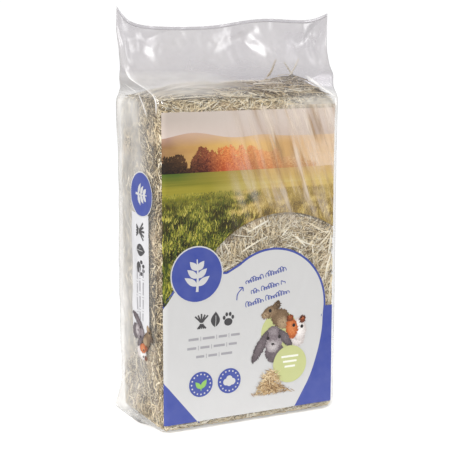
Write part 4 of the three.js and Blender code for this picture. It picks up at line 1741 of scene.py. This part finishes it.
def straw_tube(number, path, radius):
    """One stalk along a path: a tube with a darker swelling at each joint, a quarter
    narrower at its far end."""
    share = np.linspace(0, 1, len(path))
    joint = sum(np.exp(-(((share - place) / 0.014) ** 2)) for place in JOINT_PLACES)
    half = (radius * (1 + 0.38 * joint) * (1 - 0.25 * share))[None]
    points, loops, sizes, uv = strands(path[None], UP_AND_BACK, half, half * 0.85, STALK_SIDES)
    tone = np.repeat(0.95 - 0.35 * joint, STALK_SIDES)
    stalk = mesh_piece(f"straw_{number:02d}", points, loops, sizes, STEMS, uv, tone=tone)
    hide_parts(f"loose_stalk_{number:02d}")


for k, (radius, *via) in enumerate(STALKS, 1):
    straw_tube(k, over_crown(via, 60), radius * 1.15)

# ---------------------------------------------------------------- loose leaf blades
# Dry grass leaves on the crown: flat ribbons, creased along the midrib and twisted a
# little from end to end.
BLADES = (
    (0.0024, (-0.092, -0.004, 0.0018), (-0.072, -0.009, 0.0030), (-0.054, -0.006, 0.0018)),
    (0.0020, (-0.030, 0.026, 0.0018), (-0.004, 0.029, 0.0026), (0.022, 0.026, 0.0018)),
    (0.0026, (-0.040, -0.003, 0.0018), (-0.030, -0.001, 0.0026), (-0.018, 0.002, 0.0018)),
)


def ribbon(path, width, twist):
    """A thin closed ribbon: at each place a flat vee of six points, three above and three
    below, that turns by the twist along the path and narrows to both ends."""
    share = np.linspace(0, 1, len(path))
    forward = np.gradient(path, axis=0)
    forward /= np.linalg.norm(forward, axis=1, keepdims=True)
    flat = np.cross(forward, np.array([0.0, 0.0, 1.0]))
    flat /= np.linalg.norm(flat, axis=1, keepdims=True)
    over = np.cross(flat, forward)
    turn = (twist * (share - 0.5))[:, None]
    across = flat * np.cos(turn) + over * np.sin(turn)
    lift = over * np.cos(turn) - flat * np.sin(turn)
    half = width / 2 * np.sin(math.pi * (0.06 + 0.90 * share)) ** 0.5
    corners = ((-1, 0.30), (0, 0.0), (1, 0.30), (1, 0.24), (0, -0.06), (-1, 0.24))
    ring = np.stack(
        [path + across * (half * u)[:, None] + lift * (half * v)[:, None] for u, v in corners], 1
    )
    index = np.arange(ring.shape[0] * 6).reshape(-1, 6)
    after = np.roll(index, -1, axis=1)
    walls = np.stack([index[:-1], after[:-1], after[1:], index[1:]], -1)
    caps = np.concatenate([index[0, ::-1], index[-1]])
    sizes = np.concatenate([np.full(walls.size // 4, 4), [6, 6]])
    return ring.reshape(-1, 3), np.concatenate([walls.ravel(), caps]), sizes


def blade_material():
    """Dried leaf: pale olive to straw in fine lines that run with the fibres."""
    material, tree, surface = new_material("dry_blade")
    place = add_node(tree, "TexCoord").outputs["Object"]
    lines = add_node(
        tree, "Mapping", [("Vector", place)], vector_type="TEXTURE", Rotation=(0, 0, 0.1), Scale=(14, 1, 1)
    )
    veins = add_node(tree, "TexNoise", [("Vector", lines.outputs[0])], Scale=1600.0, Detail=2.0)
    olive_to_straw = [
        (0.3, shade(150, 146, 92)),
        (0.5, shade(204, 192, 138)),
        (0.7, shade(232, 222, 178)),
    ]
    colour = add_ramp(tree, veins.outputs["Fac"], olive_to_straw)
    bump = add_node(tree, "Bump", [("Height", veins.outputs["Fac"])], Strength=0.4, Distance=0.0003)
    paint = add_node(
        tree,
        "BsdfPrincipled",
        [("Base Color", colour.outputs[0]), ("Normal", bump.outputs[0])],
        Roughness=0.55,
    )
    tree.links.new(paint.outputs[0], surface)
    return material


BLADE_LOOK = blade_material()
for k, (width, *via) in enumerate(BLADES, 1):
    points, loops, sizes = ribbon(over_crown(via, 40), width, 0.9 - 0.5 * k)
    blade = mesh_piece(f"blade_{k:02d}", points, loops, sizes, BLADE_LOOK)
    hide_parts(f"leaf_blade_{k:02d}")

# ---------------------------------------------------------------- seed heads
# Two grass flower heads: a thin stalk set with small pointed husks over three quarters of
# its length, one after another round it and smaller towards the tip.
SEED_HEADS = (
    (0.0021, (0.046, 0.005, 0.0030), (0.055, 0.006, 0.0120), (0.060, 0.003, 0.0260)),
    (0.0018, (-0.036, -0.026, 0.0028), (-0.018, -0.025, 0.0030), (0.002, -0.027, 0.0028)),
)


def husks(path, radius, count):
    """Centre lines, normals and half widths of the husks: each starts on the stalk and
    leans outwards and forwards from it, a golden angle further round than the last."""
    share = np.linspace(0.25, 0.97, count)
    place = share * (len(path) - 1)
    k = place.astype(int).clip(0, len(path) - 2)
    start = path[k] + (path[k + 1] - path[k]) * (place - k)[:, None]
    forward = path[k + 1] - path[k]
    forward /= np.linalg.norm(forward, axis=1, keepdims=True)
    one = np.cross(forward, np.array([0.0, 1.0, 0.3]))
    one /= np.linalg.norm(one, axis=1, keepdims=True)
    two = np.cross(forward, one)
    turn = (np.arange(count) * 2.4)[:, None]
    out = one * np.cos(turn) + two * np.sin(turn)
    size = radius * (1.25 - 0.65 * share)[:, None]
    t = np.array([0, 0.3, 0.7, 1.0])[None, :, None]
    reach = (out * 0.55 * size)[:, None] * np.sin(t * 1.9) + (forward * 1.5 * size)[:, None] * t
    centres = start[:, None] + reach
    half = size * 0.20 * np.array([0.5, 1.0, 0.8, 0.12])
    return centres, np.broadcast_to(out[:, None], centres.shape), half


HUSKS = 90
HUSK_SIDES = 5

for k, (radius, *via) in enumerate(SEED_HEADS, 1):
    path = over_crown(via, 40)
    thin = np.full((1, 40), radius * 0.16)
    axis = strands(path[None], UP_AND_BACK, thin, thin, 6)
    centres, normals, half = husks(path, radius, HUSKS)
    coat = strands(centres, normals, half, half * 0.7, HUSK_SIDES)
    points, sizes, uv = (np.concatenate([axis[n], coat[n]]) for n in (0, 2, 3))
    loops = np.concatenate([axis[1], coat[1] + len(axis[0])])
    husk_tone = 0.45 + 0.3 * np.sin(np.arange(HUSKS) * 1.7)
    tone = np.concatenate([np.full(len(axis[0]), 0.6), np.repeat(husk_tone, 4 * HUSK_SIDES)])
    head = mesh_piece(f"seed_head_{k}", points, loops, sizes, STEMS, uv, tone=tone)
    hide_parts(f"seed_head_{k:02d}")
